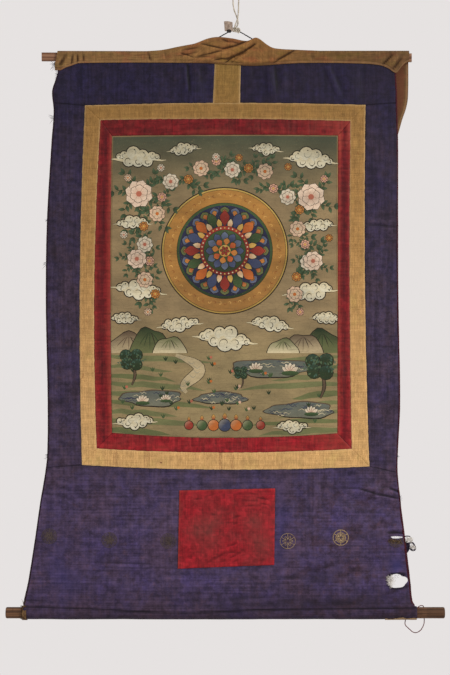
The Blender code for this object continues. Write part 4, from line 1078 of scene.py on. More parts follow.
def ring_faces(rings, sides):
    """Faces of a closed tube: quads between its rings, and fans to two end points that follow them."""
    start, end, last = rings * sides, rings * sides + 1, (rings - 1) * sides
    faces = []
    for first in range(0, last, sides):
        for k in range(sides):
            j = (k + 1) % sides
            faces.append((first + k, first + j, first + sides + j, first + sides + k))
    for k in range(sides):
        j = (k + 1) % sides
        faces += [(start, j, k), (end, last + k, last + j)]
    return faces


def tube(line, radii, sides=8):
    """Vertices and faces of a closed tube; radii is one value, one per point, or points x sides."""
    first, second = path_frames(line)
    angles = full_turn(sides)
    if np.ndim(radii) < 2:
        radii = np.reshape(radii, (-1, 1)) * np.ones((len(line), sides))
    rings = (line[:, None] + first[:, None] * (radii * np.cos(angles))[..., None]
             + second[:, None] * (radii * np.sin(angles))[..., None])
    return np.concatenate([rings.reshape(-1, 3), line[:1], line[-1:]]), ring_faces(len(line), sides)


def laid_cord(name, finish, route, diameter, plies=3, twist=4.0):
    """A twisted cord: its plies show as a lobed section that turns along its length."""
    line = smooth_line(route, diameter * 0.30)
    along = lengths(line)
    sides = plies * 6
    phase = 2 * math.pi * along / (twist * diameter)
    lobes = np.abs(np.sin(plies / 2 * (full_turn(sides)[None, :] - phase[:, None] / plies)))
    verts, faces = tube(line, diameter / 2 * (0.74 + 0.30 * lobes), sides)
    obj = link(name + "_laid", mesh_from(name + "_laid", verts, faces, 80), finish)
    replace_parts(obj, name)


def make_cords():
    laid_cord("hanger_cord", "dark_cord", HANGER_ROUTE, HANGER_DIAMETER)
    laid_cord("hang_loop", "cream_string", STRING_ROUTE, STRING_DIAMETER, plies=2, twist=5.0)
    laid_cord("tie_loop", "maroon_cord", TIE_ROUTE, TIE_DIAMETER)


class Bundle:
    """Many small forms gathered into one mesh."""

    def __init__(self):
        self.verts = []
        self.faces = []
        self.count = 0

    def add(self, verts, faces):
        self.verts.append(np.asarray(verts))
        self.faces += [tuple(i + self.count for i in face) for face in faces]
        self.count += len(verts)

    def string(self, route, spacing, radius, sides):
        """A round string along a route of (x, y, drop)."""
        self.add(*tube(smooth_line(route, spacing), radius, sides))

    def fibre(self, route, radius):
        """A fibre along a route of (x, y, drop), tapering to its free end."""
        line = smooth_line(route, max(radius * 6, 0.0012))
        taper = np.interp(np.linspace(0, 1, len(line)), [0, 0.7, 1], [1, 0.9, 0.45])
        self.add(*tube(line, radius * taper, 3))

    def link(self, name, finish):
        return link(name, mesh_from(name, np.concatenate(self.verts), self.faces, 70), finish)


# ================================================================ the painted picture
class Shape(NamedTuple):
    """A patch of paint; its colour runs into a tint from start to end."""
    outline: np.ndarray       # x and drop of its points
    colour: tuple
    tint: tuple
    start: tuple
    end: tuple


LINE = srgb(40, 34, 28)
DEEP_BLUE, BLUE = srgb(44, 47, 72), srgb(66, 74, 98)
DARK_GREEN, GREEN, SAGE = srgb(44, 58, 38), srgb(66, 86, 54), srgb(104, 108, 70)
ORANGE, AMBER, RED, WINE = srgb(186, 104, 50), srgb(170, 122, 62), srgb(150, 56, 44), srgb(104, 36, 34)
GOLD, CREAM, WHITE = srgb(190, 158, 84), srgb(202, 188, 152), srgb(208, 202, 178)
PINK, ROSE, GREY = srgb(206, 168, 142), srgb(178, 104, 82), srgb(140, 138, 122)
GROUND, MEADOW, WATER = srgb(140, 120, 88), srgb(146, 128, 92), srgb(92, 98, 92)
LEAF = srgb(84, 104, 76)
FIELD, SAND, ROCK = srgb(112, 114, 76), srgb(182, 164, 128), srgb(92, 76, 60)

# places are (x, drop) on the scroll
WHEEL_CENTRE, WHEEL_RADIUS = (-0.0225, 0.5180), 0.1250
HORIZON, HILL_FOOT = 0.640, 0.722
FIELD_LEFT, FIELD_RIGHT, FIELD_FOOT = -0.26, 0.22, 0.92
HILLS = (                     # x, height, half width, colour, tint
    (-0.214, 0.040, 0.046, ROCK, SAND), (0.172, 0.046, 0.044, DARK_GREEN, SAGE),
    (-0.172, 0.050, 0.040, DARK_GREEN, SAGE), (0.134, 0.038, 0.040, ROCK, SAND),
    (-0.132, 0.032, 0.034, SAGE, CREAM), (0.094, 0.028, 0.032, SAGE, CREAM))
PONDS = (                     # x, drop, half width, half depth, seed
    (0.072, 0.752, 0.078, 0.017, 3), (-0.168, 0.812, 0.060, 0.015, 4),
    (0.130, 0.836, 0.066, 0.015, 5), (-0.030, 0.812, 0.050, 0.011, 6))
LOTUSES = (                   # x, drop, size
    (0.040, 0.756, 0.017), (0.108, 0.760, 0.020), (-0.186, 0.820, 0.016), (-0.140, 0.816, 0.013),
    (0.150, 0.842, 0.016))
TREES = ((0.168, 0.812, 0.082, 71), (-0.208, 0.786, 0.066, 72), (0.010, 0.792, 0.040, 73))
DISC_DROP = 0.866
DISCS = ((-0.094, RED), (-0.068, GREEN), (-0.045, ORANGE), (-0.0225, BLUE), (0.0, ORANGE), (0.023, GREEN),
         (0.049, RED))
CLOUDS = (                    # x, drop, width
    (-0.196, 0.332, 0.074), (0.150, 0.334, 0.074), (-0.104, 0.314, 0.046), (0.060, 0.314, 0.046),
    (-0.206, 0.462, 0.052), (0.162, 0.466, 0.052), (-0.194, 0.594, 0.074), (0.148, 0.598, 0.074),
    (-0.222, 0.652, 0.044), (0.180, 0.652, 0.044), (-0.112, 0.664, 0.062), (0.068, 0.664, 0.062),
    (-0.202, 0.858, 0.060), (0.112, 0.868, 0.050), (-0.022, 0.692, 0.086))
GREAT_BLOSSOMS = (            # x, drop, size
    (-0.194, 0.404, 0.029), (0.150, 0.410, 0.029), (-0.198, 0.534, 0.021), (0.154, 0.538, 0.021))
SMALL_BLOSSOMS = (
    (-0.150, 0.352), (0.104, 0.350), (-0.216, 0.372), (0.176, 0.374), (-0.224, 0.486), (0.186, 0.492),
    (-0.176, 0.640), (0.128, 0.640), (-0.040, 0.330), (0.006, 0.332))


def polar(centre, reach, angle):
    return centre[0] + reach * math.cos(angle), centre[1] + reach * math.sin(angle)


def disc(x, drop, radius, count=24, squash=1.0):
    return around(x, drop, radius, full_turn(count), squash)


def petal(x, drop, angle, near, far, width, blunt=1.4, count=8):
    """Outline of a petal that points away from a centre; a blunt one is widest near its tip."""
    t = np.linspace(0, 1, count)
    half = width / 2 * np.sin(math.pi * t**blunt)
    along = lerp(near, far, t)
    local = np.concatenate([pairs(along, half), pairs(along, -half)[-2:0:-1]])
    turned = [[math.cos(angle), math.sin(angle)], [-math.sin(angle), math.cos(angle)]]
    return local @ np.array(turned) + (x, drop)


def across_line(points):
    """Unit steps square to a line of points on a cloth."""
    tangents = np.gradient(points, axis=0)
    return pairs(-tangents[:, 1], tangents[:, 0]) / np.linalg.norm(tangents, axis=1, keepdims=True)


def brush_line(points, width, ends=0.15):
    """Outline of a brush line through points, thin at both ends."""
    points = np.asarray(points, float)
    share = np.sin(np.linspace(0, math.pi, len(points))) ** 0.6
    side = across_line(points) * (width / 2 * np.maximum(share, ends)[:, None])
    return np.concatenate([points + side, (points - side)[::-1]])


class Picture:
    """Patches of paint, each on top of those before it."""

    def __init__(self):
        self.shapes = []

    def add(self, outline, colour, tint=None, start=(0, 0), end=(0, 1)):
        outline = np.asarray(outline, float)
        x, drop = outline.T
        if (x * np.roll(drop, -1) - np.roll(x, -1) * drop).sum() < 0:
            outline = outline[::-1]
        self.shapes.append(Shape(outline, colour, tint or colour, start, end))

    def brush(self, points, width, colour, ends=0.15):
        self.add(brush_line(points, width, ends), colour)

    def ringed(self, x, drop, angle, near, far, width, colour, tint, blunt=1.4, line=0.0008, edge=LINE,
               count=7):
        """A petal with a dark outline, its colour running to a tint at the tip."""
        self.add(petal(x, drop, angle, near, far, width, blunt, count), edge)
        self.add(petal(x, drop, angle, near + line, far - 1.6 * line, width - 2.2 * line, blunt, count),
                 colour, tint, polar((x, drop), near, angle), polar((x, drop), far, angle))

    def blossom(self, x, drop, size, colour, tint, heart, turn=0.0):
        """An open flower of two rings of petals."""
        for count, far, wide, offset in ((8, 1.0, 0.78, 0.0), (6, 0.66, 0.60, 0.35)):
            for k in range(count):
                angle = turn + offset + 2 * math.pi * k / count
                self.ringed(x, drop, angle, 0, size * far, size * wide, colour, tint, 1.7, 0.0006)
        self.add(disc(x, drop, size * 0.20, 10), heart)

    def spray(self, x, drop, angle, size, leaves=5):
        """A twig with leaves on both sides and one at its tip."""
        reach = np.linspace(0, size, 5)
        bend = 0.18 * size * np.sin(np.linspace(0, math.pi, 5))
        twig = pairs(x + reach * math.cos(angle) - bend * math.sin(angle),
                     drop + reach * math.sin(angle) + bend * math.cos(angle))
        self.brush(twig, 0.0012, DARK_GREEN)
        for k in range(leaves + 1):
            at = twig[min(1 + k * 4 // leaves, 4)]
            lean = 0.0 if k == leaves else 0.9 if k % 2 else -0.9
            self.ringed(at[0], at[1], angle + lean, 0, size * 0.44, size * 0.22, DARK_GREEN, LEAF, 0.8, 0.0004,
                        DARK_GREEN, 5)

    def cloud(self, x, drop, width, seed, tilt):
        """A bank of white scroll cloud: overlapping curls with a dark edge, swirls and dots."""
        draw = np.random.default_rng(seed)
        lobes = []
        for k in range(9):
            crown = math.sin(math.pi * k / 8)
            across = (k / 8 - 0.5) * width
            size = width * (0.085 + 0.080 * crown) * draw.uniform(0.85, 1.15)
            up = (0.10 * width * crown + draw.uniform(-0.04, 0.04) * width) * (-1) ** k
            lobes.append((x + across, drop + up + tilt * across, size))
        s = np.linspace(-1, 1, 14)
        across = s * width * 0.76
        tail = pairs(x + across, drop + 0.05 * width + tilt * across + 0.02 * width * np.sin(9 * s))
        self.brush(tail, width * 0.12 + 0.0016, LINE)
        for at_x, at_drop, size in lobes:
            self.add(disc(at_x, at_drop, size + 0.0022, 12), LINE)
        self.brush(tail, width * 0.12 - 0.0016, CREAM)
        for at_x, at_drop, size in lobes:
            self.add(disc(at_x, at_drop, size, 12), CREAM, WHITE, (at_x, at_drop - size),
                     (at_x, at_drop + size))
        for number, (at_x, at_drop, size) in enumerate(lobes):
            turn = np.linspace(0.3, 4.4, 8) + draw.uniform(0, 6)
            swirl = around(at_x, at_drop, size * np.linspace(0.80, 0.20, 8), turn)
            self.brush(swirl, 0.0014, LINE if number % 2 == 0 else GREY)
            self.add(disc(at_x + size * 0.2, at_drop + size * (0.5 - number % 2), 0.0014, 6), LINE)

    def tree(self, x, drop, height, seed):
        """A round-crowned tree of many small leaves."""
        draw = np.random.default_rng(seed)
        s = np.linspace(0, 1, 7)
        trunk = pairs(x + 0.10 * height * np.sin(3 * s), drop - height * 0.62 * s)
        self.brush(trunk, height * 0.10, LINE, 0.5)
        self.brush(trunk, height * 0.06, ROCK, 0.5)
        for turn, reach in ((0.0, 0.0), (0.9, 0.24), (2.4, 0.25), (3.9, 0.20), (5.4, 0.22)):
            at = (x + height * reach * math.cos(turn), drop - height * (0.76 + 0.8 * reach * math.sin(turn)))
            self.add(disc(*at, height * 0.19, 12), LINE)
            self.add(disc(*at, height * 0.175, 12), DARK_GREEN, srgb(52, 76, 62), at,
                     (at[0], at[1] - height * 0.2))
        for _ in range(46):
            turn, reach = draw.uniform(0, 2 * math.pi), height * 0.40 * math.sqrt(draw.uniform(0, 1))
            at = (x + reach * math.cos(turn), drop - height * 0.76 - reach * 0.75 * math.sin(turn))
            self.add(petal(*at, draw.uniform(3.4, 6.0), 0, height * 0.085, height * 0.040, 0.8, 4),
                     LEAF if draw.uniform() < 0.5 else srgb(66, 92, 78))

    def ring(self, radius, colour, tint=None, count=96):
        """A disc of the wheel, its colour running to a tint at the bottom."""
        x, drop = WHEEL_CENTRE
        self.add(disc(x, drop, radius, count), colour, tint, (x, drop - radius), (x, drop + radius))

    def petal_ring(self, near, far, count, width, colours, turn=0.0):
        for k in range(count):
            angle = turn + 2 * math.pi * k / count
            self.ringed(*WHEEL_CENTRE, angle, near, far, width, *colours[k % len(colours)])


def draw_hills(picture):
    """A far range of rounded hills at both sides, with strokes down their slopes."""
    turn = np.linspace(0, math.pi, 15)
    for number, (x, height, half, colour, tint) in enumerate(HILLS):
        crown = np.sin(turn) ** 1.3 * (1 + 0.10 * np.sin(5 * turn + number))
        for extra, pair in ((0.0016, (LINE, LINE)), (0.0, (colour, tint))):
            outline = pairs(x - (half + extra) * np.cos(turn), HILL_FOOT - (height + extra) * crown)
            picture.add(outline, *pair, (x, HILL_FOOT - height), (x, HILL_FOOT))
        for lean in (-0.7, -0.35, 0.0, 0.35, 0.7):
            s = np.linspace(0.08, 0.95 - 0.3 * abs(lean), 6)
            top = HILL_FOOT - height * (0.90 - 0.1 * abs(lean))
            picture.brush(pairs(x + lean * half * s, top + height * 0.8 * s**1.5), 0.0016,
                          LINE if lean == 0.35 else colour)


def draw_pond(picture, x, drop, width, depth, seed):
    """A pond with scrolled ripples and a dark bank."""
    draw = np.random.default_rng(seed)
    turn = full_turn(36)
    edge = 1 + 0.10 * np.sin(3 * turn + seed) + 0.06 * np.sin(7 * turn)
    for grow, colour, tint in ((0.0024, ROCK, LINE), (0.0, WATER, srgb(112, 112, 96))):
        outline = pairs(x + (width + grow) * edge * np.cos(turn), drop + (depth + grow) * edge * np.sin(turn))
        picture.add(outline, colour, tint, (0, drop - depth), (0, drop + depth))
    s = np.linspace(-1, 1, 7)
    for k in range(26):
        angle, reach = draw.uniform(0, 2 * math.pi), math.sqrt(draw.uniform(0, 0.80))
        at_x, at_drop = x + width * reach * math.cos(angle), drop + depth * reach * math.sin(angle)
        ripple = pairs(at_x + s * draw.uniform(0.006, 0.014), at_drop + 0.0018 * np.sin(s * 6 + k))
        picture.brush(ripple, draw.uniform(0.0010, 0.0016), (DEEP_BLUE, CREAM, srgb(60, 70, 84))[k % 3])


def draw_path(picture):
    """A winding path of stones from the hills to the ponds."""
    def at(s, across=0.0):
        return -0.120 + 0.050 * s + 0.030 * np.sin(5 * s) + across, 0.726 + 0.075 * s

    path = pairs(*at(np.linspace(0, 1, 16)))
    picture.brush(path, 0.0260, LINE, 0.3)
    picture.brush(path, 0.0235, SAND, 0.3)
    t = np.linspace(-0.6, 1.4, 6)
    for s in np.linspace(0.08, 0.92, 8):
        x, drop = at(s, -0.008)
        picture.brush(pairs(x + 0.008 * t, drop + 0.003 * np.sin(3 * t)), 0.0011, GREY)


def draw_land(picture):
    """Meadow, hills, trees and lotus ponds below the flower wheel."""
    draw = np.random.default_rng(41)
    corners = [(FIELD_LEFT, HORIZON), (FIELD_RIGHT, HORIZON), (FIELD_RIGHT, FIELD_FOOT),
               (FIELD_LEFT, FIELD_FOOT)]
    picture.add(corners, GROUND, MEADOW, (0, HORIZON), (0, 0.720))
    draw_hills(picture)
    for number in range(9):
        for end, way in ((FIELD_LEFT, 1), (FIELD_RIGHT, -1)):
            reach = draw.uniform(0.10, 0.22)
            slope = [(end + way * reach * s,
                      0.730 + 0.018 * number + draw.uniform(-0.002, 0.002) + 0.012 * s * s)
                     for s in np.linspace(-0.1, 1, 8)]
            picture.brush(slope, draw.uniform(0.008, 0.014), FIELD if (number + way) % 3 else SAGE, 0.05)
    draw_path(picture)
    for pond in PONDS:
        draw_pond(picture, *pond)
    for k in range(44):
        x, drop = draw.uniform(FIELD_LEFT + 0.016, FIELD_RIGHT - 0.016), draw.uniform(0.736, 0.872)
        for blade in (-0.5, 0.0, 0.4):
            picture.add(petal(x, drop, -math.pi / 2 + blade, 0, 0.0105, 0.0026, 0.8, 4),
                        DARK_GREEN if k % 2 else GREEN)
        if k % 3 == 0:
            picture.add(disc(x + 0.004, drop - 0.006, 0.0030, 7), (ORANGE, ROSE, PINK)[k % 9 // 3])
    for x, drop, size in LOTUSES:
        for k in range(-2, 3):
            picture.ringed(x, drop, -math.pi / 2 + k * 0.52, 0, size, size * 0.52, PINK, WHITE, 1.2, 0.0007)
        picture.add(disc(x, drop + size * 0.12, size * 0.9, 12, 0.28), GREEN, DARK_GREEN, (x, drop),
                    (x, drop + size * 0.4))
    for tree in TREES:
        picture.tree(*tree)
    for number, (x, colour) in enumerate(DISCS):
        size = 0.0120 - 0.0012 * abs(number - 3)
        picture.add(disc(x, DISC_DROP, size + 0.0014, 14), LINE)
        picture.add(disc(x, DISC_DROP, size, 14), colour, CREAM, (x, DISC_DROP),
                    (x - size * 2, DISC_DROP - size * 2))
        picture.ringed(x, DISC_DROP - size, -math.pi / 2, 0, size * 1.1, size * 0.8, RED, GOLD, 0.8, 0.0005)


def draw_wheel(picture):
    """The great flower wheel: nested rings, petals and beads."""
    draw = np.random.default_rng(7)
    edge = WHEEL_RADIUS
    picture.ring(edge + 0.0022, LINE)
    picture.ring(edge, GOLD, srgb(160, 130, 66))
    picture.ring(edge - 0.0028, LINE)
    picture.ring(edge - 0.0036, AMBER, srgb(150, 108, 58))
    for k in range(64):
        angle = 2 * math.pi * k / 64
        at = polar(WHEEL_CENTRE, edge - 0.0165 + 0.0035 * math.sin(3 * angle), angle)
        curl = around(*at, np.linspace(0.0042, 0.0010, 8), np.linspace(0, 4.2, 8) + draw.uniform(0, 6))
        picture.brush(curl, 0.0012, srgb(206, 160, 92) if k % 2 else srgb(128, 74, 40))
    picture.ring(edge - 0.0290, LINE)
    picture.ring(edge - 0.0298, GREEN, DARK_GREEN)
    picture.ring(edge - 0.0345, DEEP_BLUE, srgb(38, 40, 60))
    near, far = edge - 0.056, edge - 0.0355
    lotus = ((GREEN, SAGE, RED), (BLUE, srgb(96, 104, 126), ORANGE))
    for k in range(24):
        angle, (colour, tint, heart) = 2 * math.pi * k / 24, lotus[k % 2]
        picture.ringed(*WHEEL_CENTRE, angle, near, far, 0.0200, colour, tint, 1.5, 0.0009)
        picture.ringed(*WHEEL_CENTRE, angle, near + 0.002, far - 0.0060, 0.0105, heart, AMBER, 1.5, 0.0006)
    picture.petal_ring(0.046, 0.0815, 16, 0.0210,
                       ((WINE, RED), (srgb(60, 66, 96), BLUE), (srgb(150, 74, 38), ORANGE), (DARK_GREEN, GREEN)))
    picture.petal_ring(0.040, 0.0660, 16, 0.0120, ((ORANGE, CREAM), (AMBER, GOLD)), math.pi / 16)
    picture.ring(0.0500, LINE)
    picture.ring(0.0492, RED, WINE)
    for k in range(36):
        at = polar(WHEEL_CENTRE, 0.0458, 2 * math.pi * k / 36)
        picture.add(disc(*at, 0.0015, 8), CREAM if k % 3 else GOLD)
    picture.ring(0.0424, LINE)
    picture.ring(0.0416, GREEN, DARK_GREEN)
    picture.petal_ring(0.016, 0.0395, 12, 0.0160, ((DEEP_BLUE, srgb(78, 88, 116)), (BLUE, srgb(100, 110, 128))))
    picture.petal_ring(0.010, 0.0270, 8, 0.0140, ((ORANGE, AMBER), (RED, ORANGE)), 0.2)
    picture.ring(0.0125, LINE, count=24)
    picture.ring(0.0117, GOLD, AMBER, count=24)
    picture.petal_ring(0.0, 0.0105, 6, 0.0062, ((WINE, RED),), 0.1)


def draw_wreath(picture):
    """Blossoms and leaves round the wheel, and banks of cloud."""
    draw = np.random.default_rng(19)
    places = []
    for k in range(22):
        angle = math.radians(150 + 240 * k / 21)
        reach = 1.0 + 0.06 * math.sin(k * 2.1)
        places.append((WHEEL_CENTRE[0] + 0.160 * reach * math.cos(angle),
                       WHEEL_CENTRE[1] + 0.172 * reach * math.sin(angle)))
    for x, drop in places:
        for _ in range(3):
            picture.spray(x, drop, draw.uniform(0, 2 * math.pi), draw.uniform(0.022, 0.034))
    for x, drop, size in GREAT_BLOSSOMS:
        for turn in (0.4, 1.4, 2.2, 3.2, 4.1, 5.4):
            picture.spray(*polar((x, drop), 0.6 * size, turn), turn, size * 1.1)
    for number, (x, drop, width) in enumerate(CLOUDS):
        picture.cloud(x, drop, width, 60 + number, 0.12 * math.sin(number * 2.4))
    kinds = ((PINK, WHITE, ROSE), (ORANGE, AMBER, GOLD), (CREAM, PINK, ORANGE), (ROSE, PINK, GOLD))
    for k, (x, drop) in enumerate(places):
        picture.blossom(x, drop, 0.0175 if k % 2 else 0.0105, *kinds[(k * 5 + 1) % 4], draw.uniform(0, 1))
    for x, drop, size in GREAT_BLOSSOMS:
        picture.blossom(x, drop, size, PINK, srgb(222, 200, 176), ROSE, 0.3)
    for number, (x, drop) in enumerate(SMALL_BLOSSOMS):
        picture.blossom(x, drop, 0.0085, *kinds[number % 4], 0.5)


def painting_outline():
    """Points of the painted cloth's edge, all the way round."""
    points = []
    for side, length in (("top", 0.452), ("right", 0.594), ("bottom", 0.452), ("left", 0.594)):
        t = np.linspace(0, 1, round(length / OUTLINE_PITCH), endpoint=False)
        points.append(pairs(*contour_point(PAINTING_EDGE, side, t if side in ("top", "right") else 1 - t)))
    return np.concatenate(points)


def edge_distance(points, outline):
    """Distance of each point from a closed outline's own points."""
    return np.array([np.hypot(*(outline - point).T).min() for point in points])


def shrunk(outline, amount):
    """The outline moved inwards by an amount, towards its middle."""
    middle = outline.mean(axis=0)
    half = np.abs(outline - middle).max(axis=0)
    return middle + (outline - middle) * (1 - amount / half)


def loop_area(points):
    x, drop = np.asarray(points).T
    return abs((x * np.roll(drop, -1) - np.roll(x, -1) * drop).sum()) / 2


def triangles(outlines, loose):
    """Points, triangles wound one way and the top owner of each, from outlines laid over each other.

    Where two edges all but meet, an outline's fill can spill past it: it is begun at another corner then.
    """
    coords, faces = [], []
    for outline in outlines:
        faces.append(list(range(len(coords), len(coords) + len(outline))))
        coords += [Vector(p * CUT_SCALE) for p in outline]
    for group in loose:
        coords += [Vector(p * CUT_SCALE) for p in group]
    for _ in range(3):
        made = delaunay_2d_cdt(coords, [], faces, 1, CUT_TOLERANCE, True)
        points = np.array([tuple(v) for v in made[0]]) / CUT_SCALE
        filled = np.zeros(len(outlines))
        for face, owners in zip(made[2], made[5]):
            filled[list(owners)] += loop_area(points[face])
        spilt = {i for i, outline in enumerate(outlines) if filled[i] > 1.6 * loop_area(outline) + 2e-6}
        if not spilt:
            break
        for i in spilt:
            faces[i] = faces[i][3:] + faces[i][:3]
    kept = [(face, max(set(owners) - spilt)) for face, owners in zip(made[2], made[5]) if 0 in owners]
    tris = np.array([face for face, _ in kept])
    a, b, c = points[tris[:, 0]], points[tris[:, 1]], points[tris[:, 2]]
    turn = (b[:, 0] - a[:, 0]) * (c[:, 1] - a[:, 1]) - (b[:, 1] - a[:, 1]) * (c[:, 0] - a[:, 0])
    tris[turn < 0] = tris[turn < 0][:, ::-1]
    used, tris = np.unique(tris, return_inverse=True)
    return points[used], tris.reshape(-1, 3), np.array([top for _, top in kept])


def border_loop(tris):
    """Point numbers round the outside of a triangulated patch, in order."""
    edges = set()
    for i, j, k in tris.tolist():
        edges.update(((i, j), (j, k), (k, i)))
    after = {i: j for i, j in edges if (j, i) not in edges}
    loop = [min(after)]
    while after[loop[-1]] != loop[0]:
        loop.append(after[loop[-1]])
    return np.array(loop)


def painting_face(points, outline, lift):
    """Points of one face of the painted cloth, and its relief: soft, and dipping behind the seam."""
    x, drop = points.T
    rim = edge_distance(points, outline)
    height = uneven(PAINTING_LUMPS, x, drop) - EDGE_DIP * band(rim, 0, EDGE_DIP_REACH)
    return xyz(x, mount_depth(x, drop) - height - lift, drop), height


def paint_faces(mesh, shapes, points, owner):
    """Give each corner of the front's triangles its patch's colour, and the rest plain primed cotton."""
    colour, tint = np.array([s.colour for s in shapes]), np.array([s.tint for s in shapes])
    start = np.array([s.start for s in shapes], float)
    axis = np.array([s.end for s in shapes], float) - start
    corner = np.repeat(owner, 3)
    share = ((points - start[corner]) * axis[corner]).sum(1) / (axis[corner] ** 2).sum(1)
    painted = lerp(colour[corner], tint[corner], np.clip(share, 0, 1)[:, None])
    plain = np.tile(srgb(150, 138, 112), (mesh.attributes.domain_size("CORNER") - len(painted), 1))
    paint = mesh.color_attributes.new("paint", "FLOAT_COLOR", "CORNER")
    paint.data.foreach_set("color", np.concatenate([painted, plain]).astype(np.float32).ravel())


def make_painting():
    """The painted cloth: its front is cut into the picture's patches, each in its own colour."""
    outline = painting_outline()
    picture = Picture()
    picture.add(outline, srgb(150, 122, 84))
    picture.add(shrunk(outline, 0.0020), srgb(106, 92, 66))
    picture.add(shrunk(outline, 0.0030), srgb(76, 80, 62), GROUND, (0, 0.290), (0, 0.420))
    draw_land(picture)
    draw_wheel(picture)
    draw_wreath(picture)
    grid = pairs(*np.meshgrid(np.arange(-0.250, 0.206, 0.008), np.arange(0.286, 0.892, 0.008))).reshape(-1, 2)
    grid = grid[edge_distance(grid, outline) > 0.004]
    points, tris, owner = triangles([s.outline for s in picture.shapes], [shrunk(outline, 0.0006), grid])
    loop = border_loop(tris)
    back_points, back_tris, _ = triangles([points[loop]], [grid])
    front, height = painting_face(points, outline, CLOTH / 2)
    back, back_height = painting_face(back_points, outline, -CLOTH / 2)
    back_loop = border_loop(back_tris)
    first = np.argmin(((back_points[back_loop] - points[loop[0]]) ** 2).sum(1))
    back_loop = np.roll(back_loop, -first) + len(points)
    rim = [(back_loop[i - 1], back_loop[i], loop[i], loop[i - 1]) for i in range(len(loop))]
    faces = tris.tolist() + (back_tris[:, ::-1] + len(points)).tolist() + rim
    mesh = mesh_from("painting_cloth", np.concatenate([front, back]), faces)
    paint_faces(mesh, picture.shapes, points[tris.ravel()], owner)
    every = np.concatenate([points, back_points])
    set_attribute(mesh, "cloth", np.concatenate([every, every[:, :1] * 0], 1), "FLOAT_VECTOR")
    # painted shade in the cloth's hollows and painted highlights on its lumps
    set_attribute(mesh, "wear", np.clip(np.concatenate([height, back_height * 0]) / 0.0012, -1, 1))
    obj = link("painting_cloth", mesh, "painted_cloth")
    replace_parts(obj, "painting")


# ================================================================ flat pieces of the mount
def red_side_stain(x, drop, share, corner):
    """A dark worn streak down the middle of a crimson strip and a brighter inner edge."""
    patchy = 0.65 + 0.35 * noise(x / 0.02, drop / 0.030, 53)
    bright = 0.45 * band(share, 0.92, 0.16) + 0.25 * band(share, 0.05, 0.10)
    return 0.62 * band(share, 0.48, 0.17) * patchy - bright - corner * 0.35 * smoothstep(0.345, 0.295, drop)


def red_level_stain(x, drop, u, v):
    return 0.35 * band(v, 0.75, 0.2) * noise(x / 0.03, drop / 0.01, 54) - 0.35 * smoothstep(0.10, 0.22, x)


def selvage(share):
    """Pale selvages along the two long seams."""
    return -0.45 * band(np.minimum(share, 1 - share), 0.0, 0.05)


BORDER_STAINS = {
    ("red", "top"): red_level_stain,
    ("red", "bottom"): red_level_stain,
    ("red", "left"): lambda x, drop, u, v: red_side_stain(x, drop, u, 0),
    ("red", "right"): lambda x, drop, u, v: red_side_stain(x, drop, 1 - u, 1),
    ("yellow", "top"): lambda x, drop, u, v: selvage(v),
    ("yellow", "bottom"): lambda x, drop, u, v: selvage(v),
    ("yellow", "left"): lambda x, drop, u, v: selvage(u),
    ("yellow", "right"): lambda x, drop, u, v: selvage(u),
}


def crinkles(x, drop, u, v):
    return uneven(RED_CRINKLES, x, drop)


def make_border(colour, outer, inner, finish, above, **looks):
    """Four strips between two outlines, mitred at the corners."""
    for number, side in enumerate(("top", "bottom", "left", "right")):
        first, last = (outer, inner) if side in ("top", "left") else (inner, outer)

        def surface(u, v):
            along, across = (u, v) if side in ("top", "bottom") else (v, u)
            return lerp_point(contour_point(first, side, along), contour_point(last, side, along), across)

        mount_piece(f"{colour}_{side}", surface, finish, seed=30 + number, rests_on=[above],
                    stain=BORDER_STAINS[colour, side], **looks)


def make_borders():
    make_border("yellow", YELLOW_OUTER, YELLOW_INNER, "yellow_brocade", "blue_top_left_silk", pitch=0.0026)
    make_border("red", YELLOW_INNER, PAINTING_EDGE, "red_silk", "yellow_top_silk", pitch=0.0022,
                relief=crinkles, seam_dark=0.3)


def make_side_panels():
    for side, word, darker_at_top in ((LEFT, "left", 0.10), (RIGHT, "right", 0.24)):
        def surface(u, v):
            drop = lerp(SEAM_ENDS["top"][side - LEFT], SEAM_ENDS["bottom"][side - LEFT], v)
            inner = contour_point(YELLOW_OUTER, word, v)
            return lerp_point((cloth_edge(side, drop), drop), inner, u if side == LEFT else 1 - u)

        # the upper part of each side panel is drawn darker
        mount_piece(f"blue_side_{word}", surface, "blue_silk", seed=40 + side, seam_dark=0.7,
                    rests_on=[f"blue_top_{word}_silk"],
                    stain=lambda x, drop, u, v: darker_at_top * smoothstep(0.62, 0.34, drop))


DOOR_CREASES = [Fold(*row) for row in (
    (-0.104, 1.004, -0.062, 1.001, 0.0026, -0.001),
    (-0.086, 1.014, -0.066, 1.012, 0.0022, -0.0012),
    (-0.07, 1.012, -0.038, 1.002, 0.0026, -0.001),
    (-0.02, 1.002, 0.03, 1.004, 0.0024, -0.0009),
    (0.02, 1.001, 0.046, 1.004, 0.0024, -0.0016),
    (0.04, 1.01, 0.072, 1.016, 0.0026, -0.0014),
    (0.01, 1.016, 0.044, 1.018, 0.0024, -0.0012),
    (0.048, 1.022, 0.07, 1.026, 0.0024, -0.0013),
    (0.014, 1.028, 0.04, 1.026, 0.0022, -0.0009),
    (-0.004, 1.05, 0.01, 1.046, 0.0026, -0.0014),
    (-0.006, 1.064, 0.004, 1.06, 0.0026, -0.0013),
    (-0.052, 1.044, -0.034, 1.046, 0.0022, -0.0008),
    (-0.066, 1.146, -0.024, 1.122, 0.003, -0.002),
    (-0.058, 1.15, -0.02, 1.136, 0.003, -0.0016),
    (-0.024, 1.122, 0.0, 1.118, 0.0024, -0.001),
    (-0.016, 1.132, 0.01, 1.12, 0.003, -0.0017),
    (-0.02, 1.108, 0.004, 1.102, 0.0028, -0.0014),
    (-0.012, 1.142, 0.004, 1.134, 0.0026, -0.0013),
    (0.04, 1.136, 0.07, 1.134, 0.0024, -0.0009),
    (-0.106, 1.14, -0.08, 1.143, 0.0024, -0.0008),
)]


